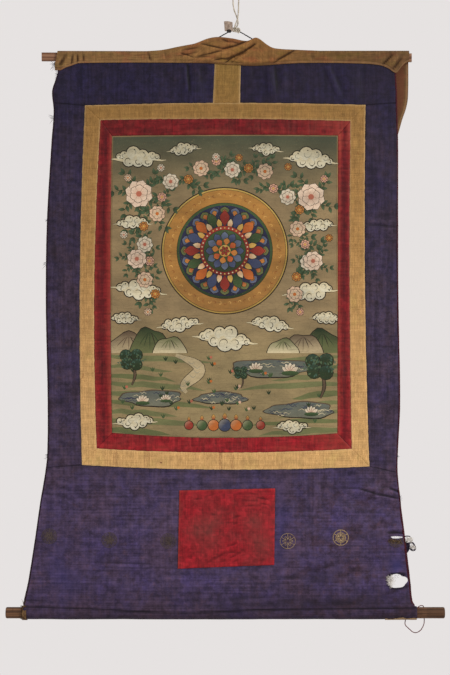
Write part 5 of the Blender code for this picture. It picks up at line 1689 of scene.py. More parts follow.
def corner_surface(corners, u, v):
    """x and drop between four corners."""
    top_left, top_right, bottom_right, bottom_left = corners
    return lerp_point(lerp_point(top_left, top_right, u), lerp_point(bottom_left, bottom_right, u), v)


def patch_surface(u, v):
    return corner_surface(DOOR_CORNERS, u, v)


def patch_relief(x, drop, u, v):
    height = uneven(PATCH_LUMPS, x, drop) + crease_height(DOOR_CREASES, x, drop) + PATCH_CROWN
    inside = smoothstep(0, 0.12, np.minimum(np.minimum(u, 1 - u), np.minimum(v, 1 - v)))
    return np.maximum(height * inside, -PATCH_DEEPEST)


def patch_stain(x, drop, u, v):
    """Two dull worn rounds and brighter edges."""
    dull = 0.80 * band(u, 0.82, 0.16) * band(v, 0.52, 0.34) + 0.72 * band(u, 0.29, 0.16) * band(v, 0.52, 0.32)
    dull = dull * (0.75 + 0.5 * noise(x / 0.030, drop / 0.022, 63))
    return np.clip(dull, 0, 0.85) - 0.5 * band(u, 0.0, 0.012) - 0.25 * band(v, 0.0, 0.02)


def make_door_patch():
    mount_piece("door_patch", patch_surface, "door_silk", lift=CLOTH + PATCH_LIFT + 0.0002, relief=patch_relief,
                seed=47, pitch=0.0020, rests_on=["blue_lower_silk"], stain=patch_stain)


# ================================================================ panels with a sleeve
def batten_wrap():
    """The sleeve round the batten: y and drop from its centre, from the hem in front to the panel's start."""
    reach, rear = BATTEN_ROUND + SLEEVE_OFFSET, BATTEN_DEPTH - BATTEN_ROUND
    low, high = BATTEN_HALF - BATTEN_ROUND, BATTEN_ROUND - BATTEN_HALF
    rows = [(y, BATTEN_HALF + SLEEVE_OFFSET) for y in np.linspace(SLEEVE_HEM, rear, 4)[:-1]]
    for y, drop, start in ((rear, low, 90), (rear, high, 0), (BATTEN_ROUND, high, -90)):
        for turn in (0, 22.5, 45, 67.5, 90):
            angle = math.radians(start - turn)
            rows.append((y + reach * math.cos(angle), drop + reach * math.sin(angle)))
    return rows


def settle(start, left_x, right_x, share, drop_at):
    """x and drop of a row whose sides slant: its drops follow from x, and x from its drops."""
    drop = np.full_like(share, start)
    for _ in range(3):
        x = lerp(left_x(drop), right_x(drop), share)
        drop = drop_at(x)
    return x, drop


def left_edge(drop):
    return cloth_edge(LEFT, drop)


def right_edge(drop):
    return cloth_edge(RIGHT, drop)


def strip_left(drop):
    return read_table(STRIP_ROWS, drop, LEFT)


def strip_right(drop):
    return read_table(STRIP_ROWS, drop, RIGHT)


def make_top_panel(number, name, left_x, right_x, finish):
    """A panel of the top, from its hem behind the batten over it and down to the yellow border."""
    width = float(right_x(TOP_MIDDLE) - left_x(TOP_MIDDLE))
    share = stations(width)
    x = lerp(left_x(BATTEN_DROP), right_x(BATTEN_DROP), share)
    rows = [xyz(x, y, batten_drop(x) + offset) for y, offset in batten_wrap()]
    reliefs, shades = [x * 0 for _ in rows], [x * 0 for _ in rows]
    for v in stations(TOP_LENGTH)[1:]:
        x, drop = settle(lerp(BATTEN_DROP + BATTEN_HALF, 0.222, v), left_x, right_x, share,
                         lambda x: lerp(batten_drop(x) + BATTEN_HALF, cross_seam(x, "top"), v))
        dip = seam_dip(share, np.full_like(share, max(v, 0.5)), width, TOP_LENGTH, 70 + number)
        height = (fine_relief(x, drop) - dip) * smoothstep(0.0, 0.12, v)
        rows.append(xyz(x, mount_depth(x, drop) - height, drop))
        reliefs.append(height)
        shades.append(crease_shade(MOUNT_CREASES, x, drop))
    points, shades = np.array(rows), np.array(shades)
    below = lengths(points, 0)
    seam = band(below, below[-1:], 0.0024)
    # painted shadow along the seam at the panel's foot (blue panels), and painted shade in deep creases, darken
    # the cloth
    if finish == "blue_silk":
        dark, stain = 0.7, 0.12 + 0.10 * number + 0.8 * shades
    else:
        dark, stain = 0.0, -0.45 * band(np.minimum(share, 1 - share) * width, 0.0, 0.0022) + shades * 0
    cloth_sheet(name + "_silk", points, finish, [name], wear=hollows(np.array(reliefs)) - dark * seam - shades,
                stain=stain)


def make_top_panels():
    """Two blue panels and the yellow strip between them, side by side on the batten."""
    make_top_panel(0, "blue_top_left", left_edge, strip_left, "blue_silk")
    make_top_panel(1, "centre_strip", strip_left, strip_right, "yellow_brocade")
    make_top_panel(2, "blue_top_right", strip_right, right_edge, "blue_silk")


def ragged(tear, count=64):
    """x and drop of a tear's torn edge."""
    turn = full_turn(count)
    reach = 1 + tear.raggedness * (np.sin(3 * turn + 1.0) + np.sin(5 * turn))
    reach = reach + 0.5 * tear.raggedness * noise(turn * 5, turn * 0 + tear.x * 40, 81)
    return tear.x + tear.half_width * reach * np.cos(turn), tear.drop - tear.half_height * reach * np.sin(turn)


def prism(x, drop, front, back):
    """Vertices and faces of an outline's solid between two depths."""
    sides = len(x)
    verts = np.concatenate([xyz(x, front, drop), xyz(x, back, drop)])
    faces = [tuple(range(sides)), tuple(range(2 * sides - 1, sides - 1, -1))]
    faces += [(k, k + sides, (k + 1) % sides + sides, (k + 1) % sides) for k in range(sides)]
    return verts, faces


def read_values(data, key, width):
    values = np.empty(len(data) * width, np.float32)
    data.foreach_get(key, values)
    return values.reshape(-1, width)


def cut_tears(obj):
    """Cut the tears through a cloth and give its new points the nearest old points' values."""
    places = read_values(obj.data.vertices, "co", 3)
    kept = {label: read_values(obj.data.attributes[label].data, key, width)
            for label, key, width in (("cloth", "vector", 3), ("wear", "value", 1), ("stain", "value", 1))}
    cutters = []
    for tear in (HOLE, SLIT):
        y = float(mount_depth(np.array(tear.x), np.array(tear.drop)))
        verts, faces = prism(*ragged(tear), y - CUTTER_REACH, y + CUTTER_REACH)
        data = bpy.data.meshes.new("cutter")
        data.from_pydata(verts.tolist(), [], faces)
        cutter = bpy.data.objects.new("cutter", data)
        bpy.context.scene.collection.objects.link(cutter)
        cutters.append(cutter)
        modifier = obj.modifiers.new("tear", "BOOLEAN")
        modifier.operation = "DIFFERENCE"
        modifier.object = cutter
    bpy.context.view_layer.update()
    mesh = bpy.data.meshes.new_from_object(obj.evaluated_get(bpy.context.evaluated_depsgraph_get()))
    obj.modifiers.clear()
    obj.data = mesh
    for cutter in cutters:
        bpy.data.objects.remove(cutter, do_unlink=True)
    numbers = {tuple(np.round(place * 1e5).astype(int)): i for i, place in enumerate(places)}
    near_tears = np.where(places[:, 0] > TEARS_FROM)[0]
    source = []
    for point in read_values(mesh.vertices, "co", 3):
        found = numbers.get(tuple(np.round(point * 1e5).astype(int)))
        if found is None:
            found = near_tears[np.argmin(((places[near_tears] - point) ** 2).sum(1))]
        source.append(found)
    for label, values in kept.items():
        if label in mesh.attributes:
            mesh.attributes.remove(mesh.attributes[label])
        set_attribute(mesh, label, values[source], "FLOAT_VECTOR" if values.shape[1] == 3 else "FLOAT")


def lower_panel_stain_and_shadow(x, drop):
    """Painted shadow in a patchy band above the rod's sleeve; darker along the sleeve's seam, from the sleeve's
    middle down and at two worn places, and bright places the other way.
    """
    line = read_table(SLEEVE_SEAM_ROWS, x)
    patchy = 0.8 + 0.4 * noise(x / 0.03, drop / 0.01, 76)
    # painted shadow: a patchy band above the sleeve's seam
    dark = 0.55 * band(drop, line - 0.012, 0.012) * smoothstep(-0.10, 0.06, x) * patchy
    dark = dark + 0.55 * band(drop, line, 0.0022) + 0.25 * smoothstep(1.236, 1.250, drop)
    dark = dark + 0.40 * band(np.hypot((x - 0.165) / 1.6, drop - 1.165), 0.0, 0.020)
    dark = dark + 0.40 * band(np.hypot(x + 0.330, drop - 1.135), 0.0, 0.016)
    bright = 0.75 * band(np.hypot(x - 0.320, drop - 1.146), 0.0, 0.014)
    bright = bright + 0.35 * band(x, 0.088, 0.010) * band(drop, 1.07, 0.09)
    bright = bright + 0.35 * band(np.hypot(x + 0.34, (drop - 1.16) / 2), 0.0, 0.030)
    return np.clip(dark, 0, 0.8) - bright


def make_lower_panel():
    """Flared panel below the borders; its hem turns under the rod and up behind it."""
    length = ROD_DROP - LOWER_START
    share = stations(LOWER_WIDTH, 0.0034)
    rows, reliefs = [], []
    for start in (lerp(LOWER_START, ROD_DROP, v) for v in stations(length, 0.0026)[:-4]):
        v = (start - LOWER_START) / length
        x, drop = settle(start, left_edge, right_edge, share,
                         lambda x: lerp(cross_seam(x, "bottom"), ROD_DROP, v))
        dip = seam_dip(share, np.full_like(share, min(v, 0.5)), LOWER_WIDTH, length, 75)
        height = fine_relief(x, drop) - dip
        rows.append(xyz(x, mount_depth(x, drop) - height, drop))
        reliefs.append(height)
    x = lerp(left_edge(ROD_DROP), right_edge(ROD_DROP), share)
    for turn in np.linspace(0, ROD_SLEEVE_SWEEP, 42):
        height = 0.6 * fine_relief(x, np.full_like(x, ROD_DROP + turn * ROD_SLEEVE_RADIUS))
        reach = ROD_SLEEVE_RADIUS + height
        rows.append(xyz(x, -reach * math.cos(turn), ROD_DROP + reach * math.sin(turn)))
        reliefs.append(height)
    points = np.array(rows)
    x, drop = points[..., 0], -points[..., 2]
    # painted shadow along the seam under the yellow border, painted shade in deep creases, and painted shadow at
    # the tears' upper and lower rims
    wear = hollows(np.array(reliefs)) - 0.8 * band(lengths(points, 0), 0, 0.0026)
    wear = wear - crease_shade(MOUNT_CREASES, x, drop) * (points[..., 1] < 0)
    for tear in (HOLE, SLIT):
        across, over = (x - tear.x) / tear.half_width, (drop - tear.drop) / tear.half_height
        wear = wear - 1.1 * band(np.hypot(across, over), 1.12, 0.20) * np.clip(np.abs(over), 0, 1) ** 2
    obj = cloth_sheet("blue_lower_silk", points, "blue_silk", ["blue_lower"], wear=wear,
                      stain=lower_panel_stain_and_shadow(x, drop))
    cut_tears(obj)


def make_edging(side, word, finish, widened):
    """A narrow maroon binding along one long edge, drawn in at each stitch, wider where it is worn open."""
    drop = np.arange(EDGING_TOP, EDGING_BOTTOM, 0.0015)
    half = EDGING_WIDTH / 2 * (1 + widened * smoothstep(1.00, 1.08, drop))
    x = read_table(EDGE_ROWS, drop, side) + INWARD[side] * half
    y = mount_depth(x, drop)
    pulled = 0.90 + 0.10 * np.abs(np.sin(drop * math.pi / EDGING_STITCH))
    pulled = pulled + 0.06 * noise(drop / 0.004, drop * 0, 91)
    angles = full_turn(EDGING_SIDES)
    rings = xyz(x[:, None] + (half * pulled)[:, None] * np.cos(angles),
                y[:, None] + EDGING_HALF_THICK * pulled[:, None] * np.sin(angles), drop[:, None])
    line = xyz(x, y, drop)
    verts = np.concatenate([rings.reshape(-1, 3), line[:1], line[-1:]])
    name = f"edging_{word}_piping"
    obj = link(name, mesh_from(name, verts, ring_faces(len(drop), EDGING_SIDES)), finish)
    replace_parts(obj, f"edging_{word}")


def make_edgings():
    make_edging(LEFT, "left", "dark_edging", 0.3)
    make_edging(RIGHT, "right", "maroon_edging", 0.6)


# ================================================================ veil
VEIL_FOLDS = [Fold(*row) for row in (
    (-0.18, 0.136, -0.03, 0.124, 0.007, 0.001),
    (-0.06, 0.112, -0.01, 0.106, 0.008, 0.0012),
    (-0.04, 0.124, 0.02, 0.108, 0.006, 0.0014),
    (0.04, 0.128, 0.066, 0.118, 0.014, 0.0012),
    (0.296, 0.15, 0.316, 0.128, 0.006, 0.0014),
)]
VEIL_CREASES = [Fold(*row) for row in (
    (-0.072, 0.105, -0.024, 0.1152, 0.003, -0.0028),  # the bunched heap at the middle
    (-0.028, 0.116, 0.0, 0.1092, 0.0032, -0.004),
    (-0.004, 0.1106, 0.026, 0.098, 0.0034, -0.004),
    (-0.056, 0.1256, -0.026, 0.1184, 0.0028, -0.0026),
    (-0.078, 0.129, -0.05, 0.1246, 0.0026, -0.002),
    (-0.022, 0.142, -0.002, 0.1296, 0.0034, -0.0044),
    (-0.006, 0.1312, 0.022, 0.1176, 0.0038, -0.005),
    (0.016, 0.1204, 0.04, 0.105, 0.0034, -0.004),
    (-0.046, 0.1368, -0.014, 0.1342, 0.0028, -0.0034),
    (-0.02, 0.135, -0.002, 0.129, 0.0026, -0.003),
    (-0.024, 0.1402, 0.012, 0.1414, 0.0024, -0.0018),
    (-0.01, 0.142, 0.006, 0.13, 0.0024, -0.0024),
    (0.004, 0.131, 0.024, 0.121, 0.0022, -0.0016),
    (-0.042, 0.098, -0.008, 0.104, 0.003, -0.0012),
    (-0.112, 0.1227, -0.084, 0.1318, 0.0026, -0.0024),
    (-0.084, 0.1318, -0.052, 0.1297, 0.0026, -0.0022),
    (-0.032, 0.095, -0.0136, 0.1016, 0.0024, -0.0018),
    (-0.0136, 0.1016, 0.0059, 0.103, 0.0024, -0.0018),
    (-0.11, 0.118, -0.074, 0.112, 0.004, -0.0018),
    (-0.12, 0.129, -0.076, 0.122, 0.0034, -0.0018),
    (-0.098, 0.137, -0.06, 0.133, 0.003, -0.0016),
    (0.072, 0.144, 0.122, 0.114, 0.004, -0.0034),  # the pleat at the heap's right
    (0.066, 0.14, 0.108, 0.116, 0.005, 0.0016),
    (-0.282, 0.132, -0.16, 0.125, 0.0036, -0.0014),  # the thin band at the left
    (-0.26, 0.139, -0.15, 0.133, 0.003, -0.0012),
    (-0.22, 0.127, -0.17, 0.123, 0.003, 0.001),
    (-0.176, 0.12, -0.17, 0.142, 0.0034, -0.0018),
    (-0.144, 0.118, -0.138, 0.14, 0.0034, -0.0012),
    (-0.306, 0.124, -0.304, 0.142, 0.003, -0.0016),  # gathered left end
    (-0.318, 0.124, -0.316, 0.145, 0.0034, -0.0024),
    (-0.327, 0.124, -0.329, 0.148, 0.003, -0.002),
    (-0.336, 0.125, -0.344, 0.15, 0.0034, 0.002),
    (-0.344, 0.125, -0.354, 0.148, 0.003, -0.0016),
    (0.29, 0.15, 0.316, 0.124, 0.0034, -0.0024),  # right end
    (0.302, 0.157, 0.326, 0.128, 0.0034, 0.002),
    (0.312, 0.158, 0.332, 0.132, 0.003, -0.0018),
    (0.19, 0.137, 0.28, 0.14, 0.003, -0.0012),
    (0.124, 0.13, 0.22, 0.127, 0.003, -0.001),
    (0.15, 0.12, 0.154, 0.142, 0.005, -0.001),
    (0.224, 0.12, 0.226, 0.142, 0.005, -0.001),
)]
FRONT_ROWS, CREST_ROWS, REAR_ROWS, FILLET_ROWS, OVER_ROWS, CORNER_ROWS, TAIL_ROWS = 26, 10, 8, 2, 5, 6, 84


def veil_front_depth(x, drop):
    return np.minimum(-VEIL_STANDOFF, mount_depth(x, drop) - VEIL_FRONT_OFFSET)


def veil_relief(x, drop):
    """Puffed heap, pleats and fine crinkles of the front layer, fading out at its sewn lower edge."""
    low = read_table(VEIL_EDGE_ROWS, x)
    puff = VEIL_PUFF * smoothstep(-0.135, -0.070, x) * (1 - smoothstep(0.075, 0.125, x)) + 0.0010
    pleats = puff + fold_height(VEIL_FOLDS, x, drop) + crease_height(VEIL_CREASES, x, drop)
    pleats = pleats + 0.00060 * noise(x / 0.024 + drop / 0.02, drop / 0.0060, 95)
    pleats = pleats + 0.00025 * noise(x / 0.009, drop / 0.005, 96)
    return pleats * smoothstep(0.0, VEIL_SEWN, low - drop) - 0.0009 * band(low - drop, 0.0050, 0.0014)


def arc_rows(centre_y, centre_drop, radius, start, end, count):
    """Rows of (y, drop) along an arc, without its first one."""
    angle = np.radians(np.linspace(start, end, count + 1)[1:])
    return pairs(centre_y + radius * np.cos(angle), centre_drop - radius * np.sin(angle))


def straight_rows(start, end, count):
    """Rows of (y, drop) along a straight line, without its first one."""
    t = np.linspace(0, 1, count + 1)[1:, None]
    return np.asarray(start) * (1 - t) + np.asarray(end) * t


def veil_paths(x, crest, flat_crest):
    """Rows of (y, drop) from the front lower edge to the back: straight over the batten, and over the hump."""
    upper = float(batten_drop(x)) - BATTEN_HALF + BATTEN_ROUND
    reach = BATTEN_ROUND + VEIL_STANDOFF
    back, top = BATTEN_DEPTH - BATTEN_ROUND, upper - reach
    lowest = float(read_table(VEIL_EDGE_ROWS, x))
    corner = arc_rows(back, upper, reach, 90, 0, CORNER_ROWS)
    drops = np.linspace(lowest, upper, FRONT_ROWS + 1)
    crown = arc_rows(BATTEN_ROUND, upper, reach, 180, 90, CREST_ROWS)
    simple = [pairs(veil_front_depth(x, drops), drops), crown,
              straight_rows(crown[-1], (back, top), REAR_ROWS + FILLET_ROWS + OVER_ROWS), corner]
    front_y = -VEIL_STANDOFF - HUMP_BULGE
    radius = (VEIL_BACK_LAYER - front_y) / 2
    turn_drop = min(crest, flat_crest - HUMP_FULL) + VEIL_CLOTH / 2 + radius
    drops = np.linspace(lowest, turn_drop, FRONT_ROWS + 1)
    rise = smoothstep(0.0, lowest - turn_drop, lowest - drops)
    crown = arc_rows(front_y + radius, turn_drop, radius, 180, 0, CREST_ROWS)
    foot, step = (VEIL_BACK_LAYER, top - HUMP_FILLET), (VEIL_BACK_LAYER + HUMP_FILLET, top)
    hump = [pairs(lerp(veil_front_depth(x, drops), front_y, rise), drops), crown,
            straight_rows(crown[-1], foot, REAR_ROWS), straight_rows(foot, step, FILLET_ROWS),
            straight_rows(step, (back, top), OVER_ROWS), corner]
    return np.concatenate(simple), np.concatenate(hump)


def veil_column(x, u):
    """Points of one column of the veil, from its front lower edge to its hem behind, and their relief."""
    flat_crest = float(batten_drop(x)) - BATTEN_HALF - VEIL_STANDOFF - VEIL_CLOTH / 2
    crest = min(float(read_table(VEIL_CREST_ROWS, x)), flat_crest)
    simple, hump = veil_paths(x, crest, flat_crest)
    y, drop = lerp(simple, hump, min((flat_crest - crest) / HUMP_FULL, 1.0)).T
    front = slice(0, FRONT_ROWS + 1)
    fade = np.linspace(1, 0, CREST_ROWS // 2 + 1)[1:-1]
    relief = np.zeros(len(y))
    relief[front] = veil_relief(x, drop[front])
    relief[FRONT_ROWS + 1:FRONT_ROWS + CREST_ROWS // 2] = relief[FRONT_ROWS] * fade
    y = y - relief
    y[front] = np.minimum(y[front], veil_front_depth(x, drop[front]))
    hem = TAIL_DROP + TAIL_HEM_SAG * math.sin(math.pi * u) + 0.0012 * float(noise(x / 0.03, 0.5, 97))
    tail_drop = np.linspace(drop[-1], hem, TAIL_ROWS + 1)[1:]
    below = tail_drop - drop[-1]
    swell = TAIL_FOLD_HEIGHT * smoothstep(0.0, 0.25, below) * np.sin(2 * math.pi * TAIL_FOLD_COUNT * u)
    fine = 0.0006 * noise(x / 0.012, tail_drop / 0.060, 98) * smoothstep(0.004, 0.03, below)
    slant = VEIL_SLANT * (1 - float(smoothstep(VEIL_LEFT, VEIL_LEFT + 0.05, x)))
    over_x = x + slant * (1 - smoothstep(0.120, 0.150, drop))
    tail_x = (x + slant) * read_table(TAIL_WIDTH_ROWS, below)
    column = np.concatenate([xyz(over_x, y, drop), xyz(tail_x, y[-1] + swell + np.abs(fine), tail_drop)])
    return column, np.concatenate([relief, -fine])


def make_veil():
    xs = np.concatenate([np.arange(VEIL_LEFT, -0.160, 0.0030), np.arange(-0.160, 0.120, 0.0018),
                         np.arange(0.120, VEIL_RIGHT, 0.0030), [VEIL_RIGHT]])
    made = [veil_column(float(x), (x - xs[0]) / (xs[-1] - xs[0])) for x in xs]
    points = np.stack([column for column, _ in made], 1)[::-1]
    relief = np.stack([values for _, values in made], 1)[::-1]
    x, y, z = points[..., 0], points[..., 1], points[..., 2]
    hanging = (y > 0.008) * smoothstep(0.30, 0.325, x)
    stain = hanging * (0.75 - 1.1 * band(x, x.max(axis=1, keepdims=True) - 0.003, 0.0045))
    hem = (y < 0) * band(read_table(VEIL_EDGE_ROWS, x) + z, 0.0025, 0.0030)
    rear = (y < 0) * band(-z, read_table(VEIL_CREST_ROWS, x) + 0.003, 0.006) * band(x, -0.015, 0.030)
    frayed = 0.35 + 0.35 * noise(x / 0.006, z / 0.012, 94)
    frayed = frayed * smoothstep(VEIL_LEFT + 0.030, VEIL_LEFT + 0.006, x)
    # painted shade in deep creases of the front layer, with the darker frayed left end
    dark = (y < 0.002) * (crease_shade(VEIL_CREASES, x, -z) + frayed)
    cloth_sheet("veil_silk", points, "veil_silk", ["veil"], thickness=VEIL_CLOTH,
                wear=hollows(relief, 3, 0.0009) - dark, stain=stain - 0.16 * hem + 0.45 * rear,
                stain_behind=True)


# ================================================================ small things
def mount_front(x, drop, lift=0.0):
    """Y of the mount's face, or a little before it."""
    return mount_depth(x, drop) - fine_relief(x, drop) - CLOTH / 2 - lift


def laid_thread(bundle, points, width, lift):
    """A flat thread couched on the mount along (x, drop) points."""
    x, drop = np.asarray(points, float).T
    bundle.add(*tube(xyz(x, mount_front(x, drop, lift), drop), width / 2, 5))


def rosette(bundle, x, drop, radius, width, lift, share=1.0):
    """A ring, a six-leaved loop and spokes of couched thread; share is how far round they are kept."""
    turn = np.linspace(0, 2 * math.pi * share, 61)
    for reach in (radius + 0 * turn, radius * (0.44 + 0.24 * np.cos(6 * turn))):
        laid_thread(bundle, around(x, drop, reach, turn), width, lift)
    for angle in np.radians((30, 90, 150, 210, 270, 330))[:round(6 * share)]:
        laid_thread(bundle, around(x, drop, radius * np.array([0.30, 0.98]), angle), width, lift)


def make_rosettes():
    bundle = Bundle()
    for x, drop, radius, width in ((0.1030, 1.0966, 0.0152, 0.0010), (0.2084, 1.0896, 0.0152, 0.0017),
                                   (0.2084, 1.0896, 0.0098, 0.0013)):
        rosette(bundle, x, drop, radius, width, 0.0001)
    bundle.link("rosettes_gold_thread", "gold_thread")
    bundle = Bundle()
    for x, drop, share in ((-0.3720, 1.0870, 1.0), (-0.2524, 1.0946, 1.0), (-0.1354, 1.0966, 1.0),
                           (0.3190, 1.0936, 0.5)):
        for radius in (0.0150, 0.0126, 0.0102, 0.0078, 0.0054, 0.0030):
            rosette(bundle, x, drop, radius, 0.0015, -0.0002, share)
    bundle.link("rosettes_worn_gold", "worn_gold")
    bundle = Bundle()
    for x in (-0.072, 0.038):
        rosette(bundle, x, 1.106, 0.0200, 0.0012, CLOTH + PATCH_LIFT - 0.0002)
    bundle.link("patch_rosettes", "door_thread")


def make_knot():
    """Turns of string wound round the cord's peak, a curled end, and the cord's own dark turn."""
    x, y, drop = KNOT_CENTRE
    t = np.linspace(0, 1, 120)
    angle = 2 * math.pi * KNOT_TURNS * t
    reach = 0.0035 + 0.0004 * np.sin(angle * 0.7)
    at = x - 0.0046 + 0.0140 * t
    cord_x, _, cord_drop = np.array(HANGER_ROUTE).T
    middle = np.interp(at, cord_x, cord_drop)
    bundle = Bundle()
    route = np.stack([at + 0.0006 * np.sin(angle), y + reach * np.cos(angle), middle - reach * np.sin(angle)], 1)
    bundle.string(route, 0.0008, 0.0013, 8)
    for shift, low in ((0.0, 0.0), (0.0062, 0.0016)):
        bundle.string([(x + across + shift, depth, drop + down + low) for across, depth, down in KNOT_LOOP],
                      0.0008, 0.0012, 8)
    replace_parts(bundle.link("knot_turns", "cream_string"), "knot")
    turn = np.linspace(0, 2 * math.pi * 2.4, 60)
    route = np.stack([-0.0160 + 0.0009 * turn / math.pi + 0.0024 * np.cos(turn), -0.0052 + 0 * turn,
                      0.0792 + 0.0026 * np.sin(turn)], 1)
    bundle = Bundle()
    bundle.string(route, 0.0008, 0.0008, 6)
    bundle.link("cord_turn", "dark_cord")


def make_tape():
    u, v = np.meshgrid(np.linspace(0, 1, 26), np.linspace(0, 1, 30))
    x, drop = corner_surface(TAPE_CORNERS, u, v)
    drop = drop - 0.0012 * np.sin(math.pi * u) * (1 - v)
    y = TAPE_DEPTH - TAPE_CURL * np.cos(math.pi * u) * (1 - v) - 0.0005 * np.sin(6 * u + 3 * v)
    worn = band(v, 0.0, 0.2) + band(u, 1.0, 0.14) + 0.8 * band(v, 1.0, 0.16)
    cloth_sheet("tape_end_fold", xyz(x, y, drop), "tape", ["tape_end"], thickness=0.0010,
                wear=0.8 * noise(u * 6, v * 7, 99) - worn)


def fuzz(bundle, draw, x, drop, count, length, radius, spread=0.003, lean=(0.0, 0.0), lift=0.0012):
    """Loose fibres that curl away from a place on the mount."""
    for _ in range(count):
        start_x, start_drop = x + draw.uniform(-spread, spread), drop + draw.uniform(-spread, spread)
        way = draw.uniform(0, 2 * math.pi)
        bend = draw.uniform(-2.5, 2.5)
        front = float(mount_front(start_x, start_drop, lift))
        route = []
        for s in np.linspace(0, 1, 5):
            reach = s * length * draw.uniform(0.9, 1.1)
            y = front - 0.0015 * math.sin(math.pi * s) * draw.uniform(0.3, 1)
            route.append((start_x + reach * (math.cos(way + bend * s) + lean[0]), y,
                          start_drop + reach * (math.sin(way + bend * s) + lean[1])))
        bundle.fibre(route, radius)


def tuft(bundle, draw, side, drop, count, reach):
    """Loose threads that start inside the mount's edge and stand out from it."""
    for _ in range(count):
        at = drop + draw.uniform(-0.003, 0.003)
        x = float(read_table(EDGE_ROWS, at, side)) + INWARD[side] * 0.002
        long = reach * draw.uniform(0.5, 1.1)
        slope, curl = draw.uniform(-0.7, 0.7) + 0.2, draw.uniform(-0.5, 0.5)
        y = float(mount_depth(x, at)) - 0.0014
        bundle.fibre([(x - INWARD[side] * long * s, y - 0.001 * math.sin(3 * s),
                       at + long * s * (slope + curl * s)) for s in np.linspace(0, 1, 5)], 0.00034)


def fray_tears(draw, white, dark, olive):
    """Fibres at the rims of the two tears."""
    x, drop = ragged(HOLE, 60)
    for k in np.where(x < HOLE.x - 0.011)[0]:
        fuzz(white, draw, x[k] + 0.002, drop[k], 3, 0.0034, 0.00034, 0.0008, (-1.0, 0.0))
    for _ in range(40):
        at_x, at_drop = HOLE.x - 0.015 + draw.uniform(-0.003, 0.003), HOLE.drop + draw.uniform(-0.006, 0.007)
        fuzz(white, draw, at_x, at_drop, 2, 0.0070, 0.00026, 0.002, (0.3, 0.0))
    for _ in range(5):
        fuzz(dark, draw, HOLE.x + draw.uniform(-0.004, 0.012), HOLE.drop - HOLE.half_height + 0.002, 2,
             0.007, 0.00030, 0.002)
    x, drop = ragged(SLIT, 26)
    for k in range(26):
        if drop[k] > SLIT.drop:
            fuzz(olive, draw, x[k] - 0.003, drop[k] + 0.004, 3, 0.0070, 0.00028, 0.003, (0.0, 0.35),
                 lift=0.0004)
        elif k % 3 == 0:
            fuzz(dark, draw, x[k], drop[k], 1, 0.0050, 0.00024, 0.001)


def fray_scrap(draw, white):
    """Pale fluff on the torn scrap and just above it."""
    for _ in range(110):
        x, drop = draw.uniform(0.3395, 0.3500), draw.uniform(1.0900, 1.0975)
        fuzz(white, draw, x, drop, 1, 0.0036, 0.00046, 0.0006, lift=0.0020)
    for _ in range(70):
        angle = draw.uniform(0, 2 * math.pi)
        reach = draw.uniform(0, 0.004)
        fuzz(white, draw, 0.3520 + reach * math.cos(angle), 1.1080 + reach * math.sin(angle), 1, 0.004, 0.00030,
             0.001, lift=0.0030)


def fray_sleeve(draw, olive):
    """Threads at the left end of the rod's sleeve, some out along the rod and some upwards."""
    for _ in range(40):
        angle = draw.uniform(-1.6, 1.4)
        reach = ROD_SLEEVE_RADIUS + 0.001
        y, drop = -reach * math.cos(angle), ROD_DROP + reach * math.sin(angle)
        x, long = -0.4265 + draw.uniform(-0.001, 0.003), draw.uniform(0.002, 0.006)
        olive.fibre([(x - long * s, y - 0.0006 * s, drop + long * s * draw.uniform(-0.5, 0.5))
                     for s in np.linspace(0, 1, 4)], 0.00034)
    for _ in range(16):
        x, long = -0.4205 + draw.uniform(-0.003, 0.002), draw.uniform(0.006, 0.017)
        bend = draw.uniform(-0.3, 0.1)
        olive.fibre([(x + bend * long * s * s, -0.0130, 1.2280 - long * s) for s in np.linspace(0, 1, 4)],
                    0.00040)


def make_fibres():
    """Frayed fibres round the tears and the small tufts along the edges."""
    draw = np.random.default_rng(5)
    white, dark, olive = Bundle(), Bundle(), Bundle()
    fray_tears(draw, white, dark, olive)
    for side, drop, count, reach in TUFTS:
        tuft(dark, draw, side, drop, count, reach)
    fray_scrap(draw, white)
    fray_sleeve(draw, olive)
    white.link("white_fibres", "white_fibre")
    dark.link("dark_fibres", "dark_fibre")
    olive.link("olive_fibres", "olive_fibre")
    stitches = Bundle()
    left, right = YELLOW_INNER.bottom_left[0], YELLOW_INNER.bottom_right[0]
    for x in STITCHED_AT:
        upper, lower = (contour_point(contour, "bottom", (x - left) / (right - left))[1]
                        for contour in (YELLOW_INNER, YELLOW_OUTER))
        drops = np.linspace(upper + 0.001, lower - 0.001, 8)
        laid_thread(stitches, pairs(x + 0.0004 * np.sin(drops * 300), drops), 0.0007, -0.00015)
    laid_thread(stitches, [(-0.1512, 0.9396), (-0.1490, 0.9410), (-0.1476, 0.9404)], 0.0016, 0.0001)
    stitches.link("stitch_lines", "stitch")


def seam_lines():
    """x and drop along each seam, by the cloth whose edge is turned in there."""
    t = np.linspace(0, 1, 90)
    contours = {"blue_silk": YELLOW_OUTER, "yellow_brocade": YELLOW_INNER, "red_silk": PAINTING_EDGE}
    lines = {name: [contour_point(contour, side, t) for side in ("top", "bottom", "left", "right")]
             for name, contour in contours.items()}
    for corner in ("top_left", "top_right", "bottom_right", "bottom_left"):
        for name, outer in (("yellow_brocade", YELLOW_OUTER), ("red_silk", YELLOW_INNER)):
            lines[name].append(lerp_point(getattr(outer, corner), getattr(contours[name], corner), t[::6]))
    for side, (left_drop, right_drop) in SEAM_ENDS.items():
        left, right = getattr(YELLOW_OUTER, side + "_left"), getattr(YELLOW_OUTER, side + "_right")
        lines["blue_silk"].append(lerp_point((cloth_edge(LEFT, left_drop), left_drop), left, t[::4]))
        lines["blue_silk"].append(lerp_point(right, (cloth_edge(RIGHT, right_drop), right_drop), t[::4]))
    drop = lerp(0.1425, 0.2220, t)
    for column in (LEFT, RIGHT):
        lines["blue_silk"].append((read_table(STRIP_ROWS, drop, column), drop))
    return lines


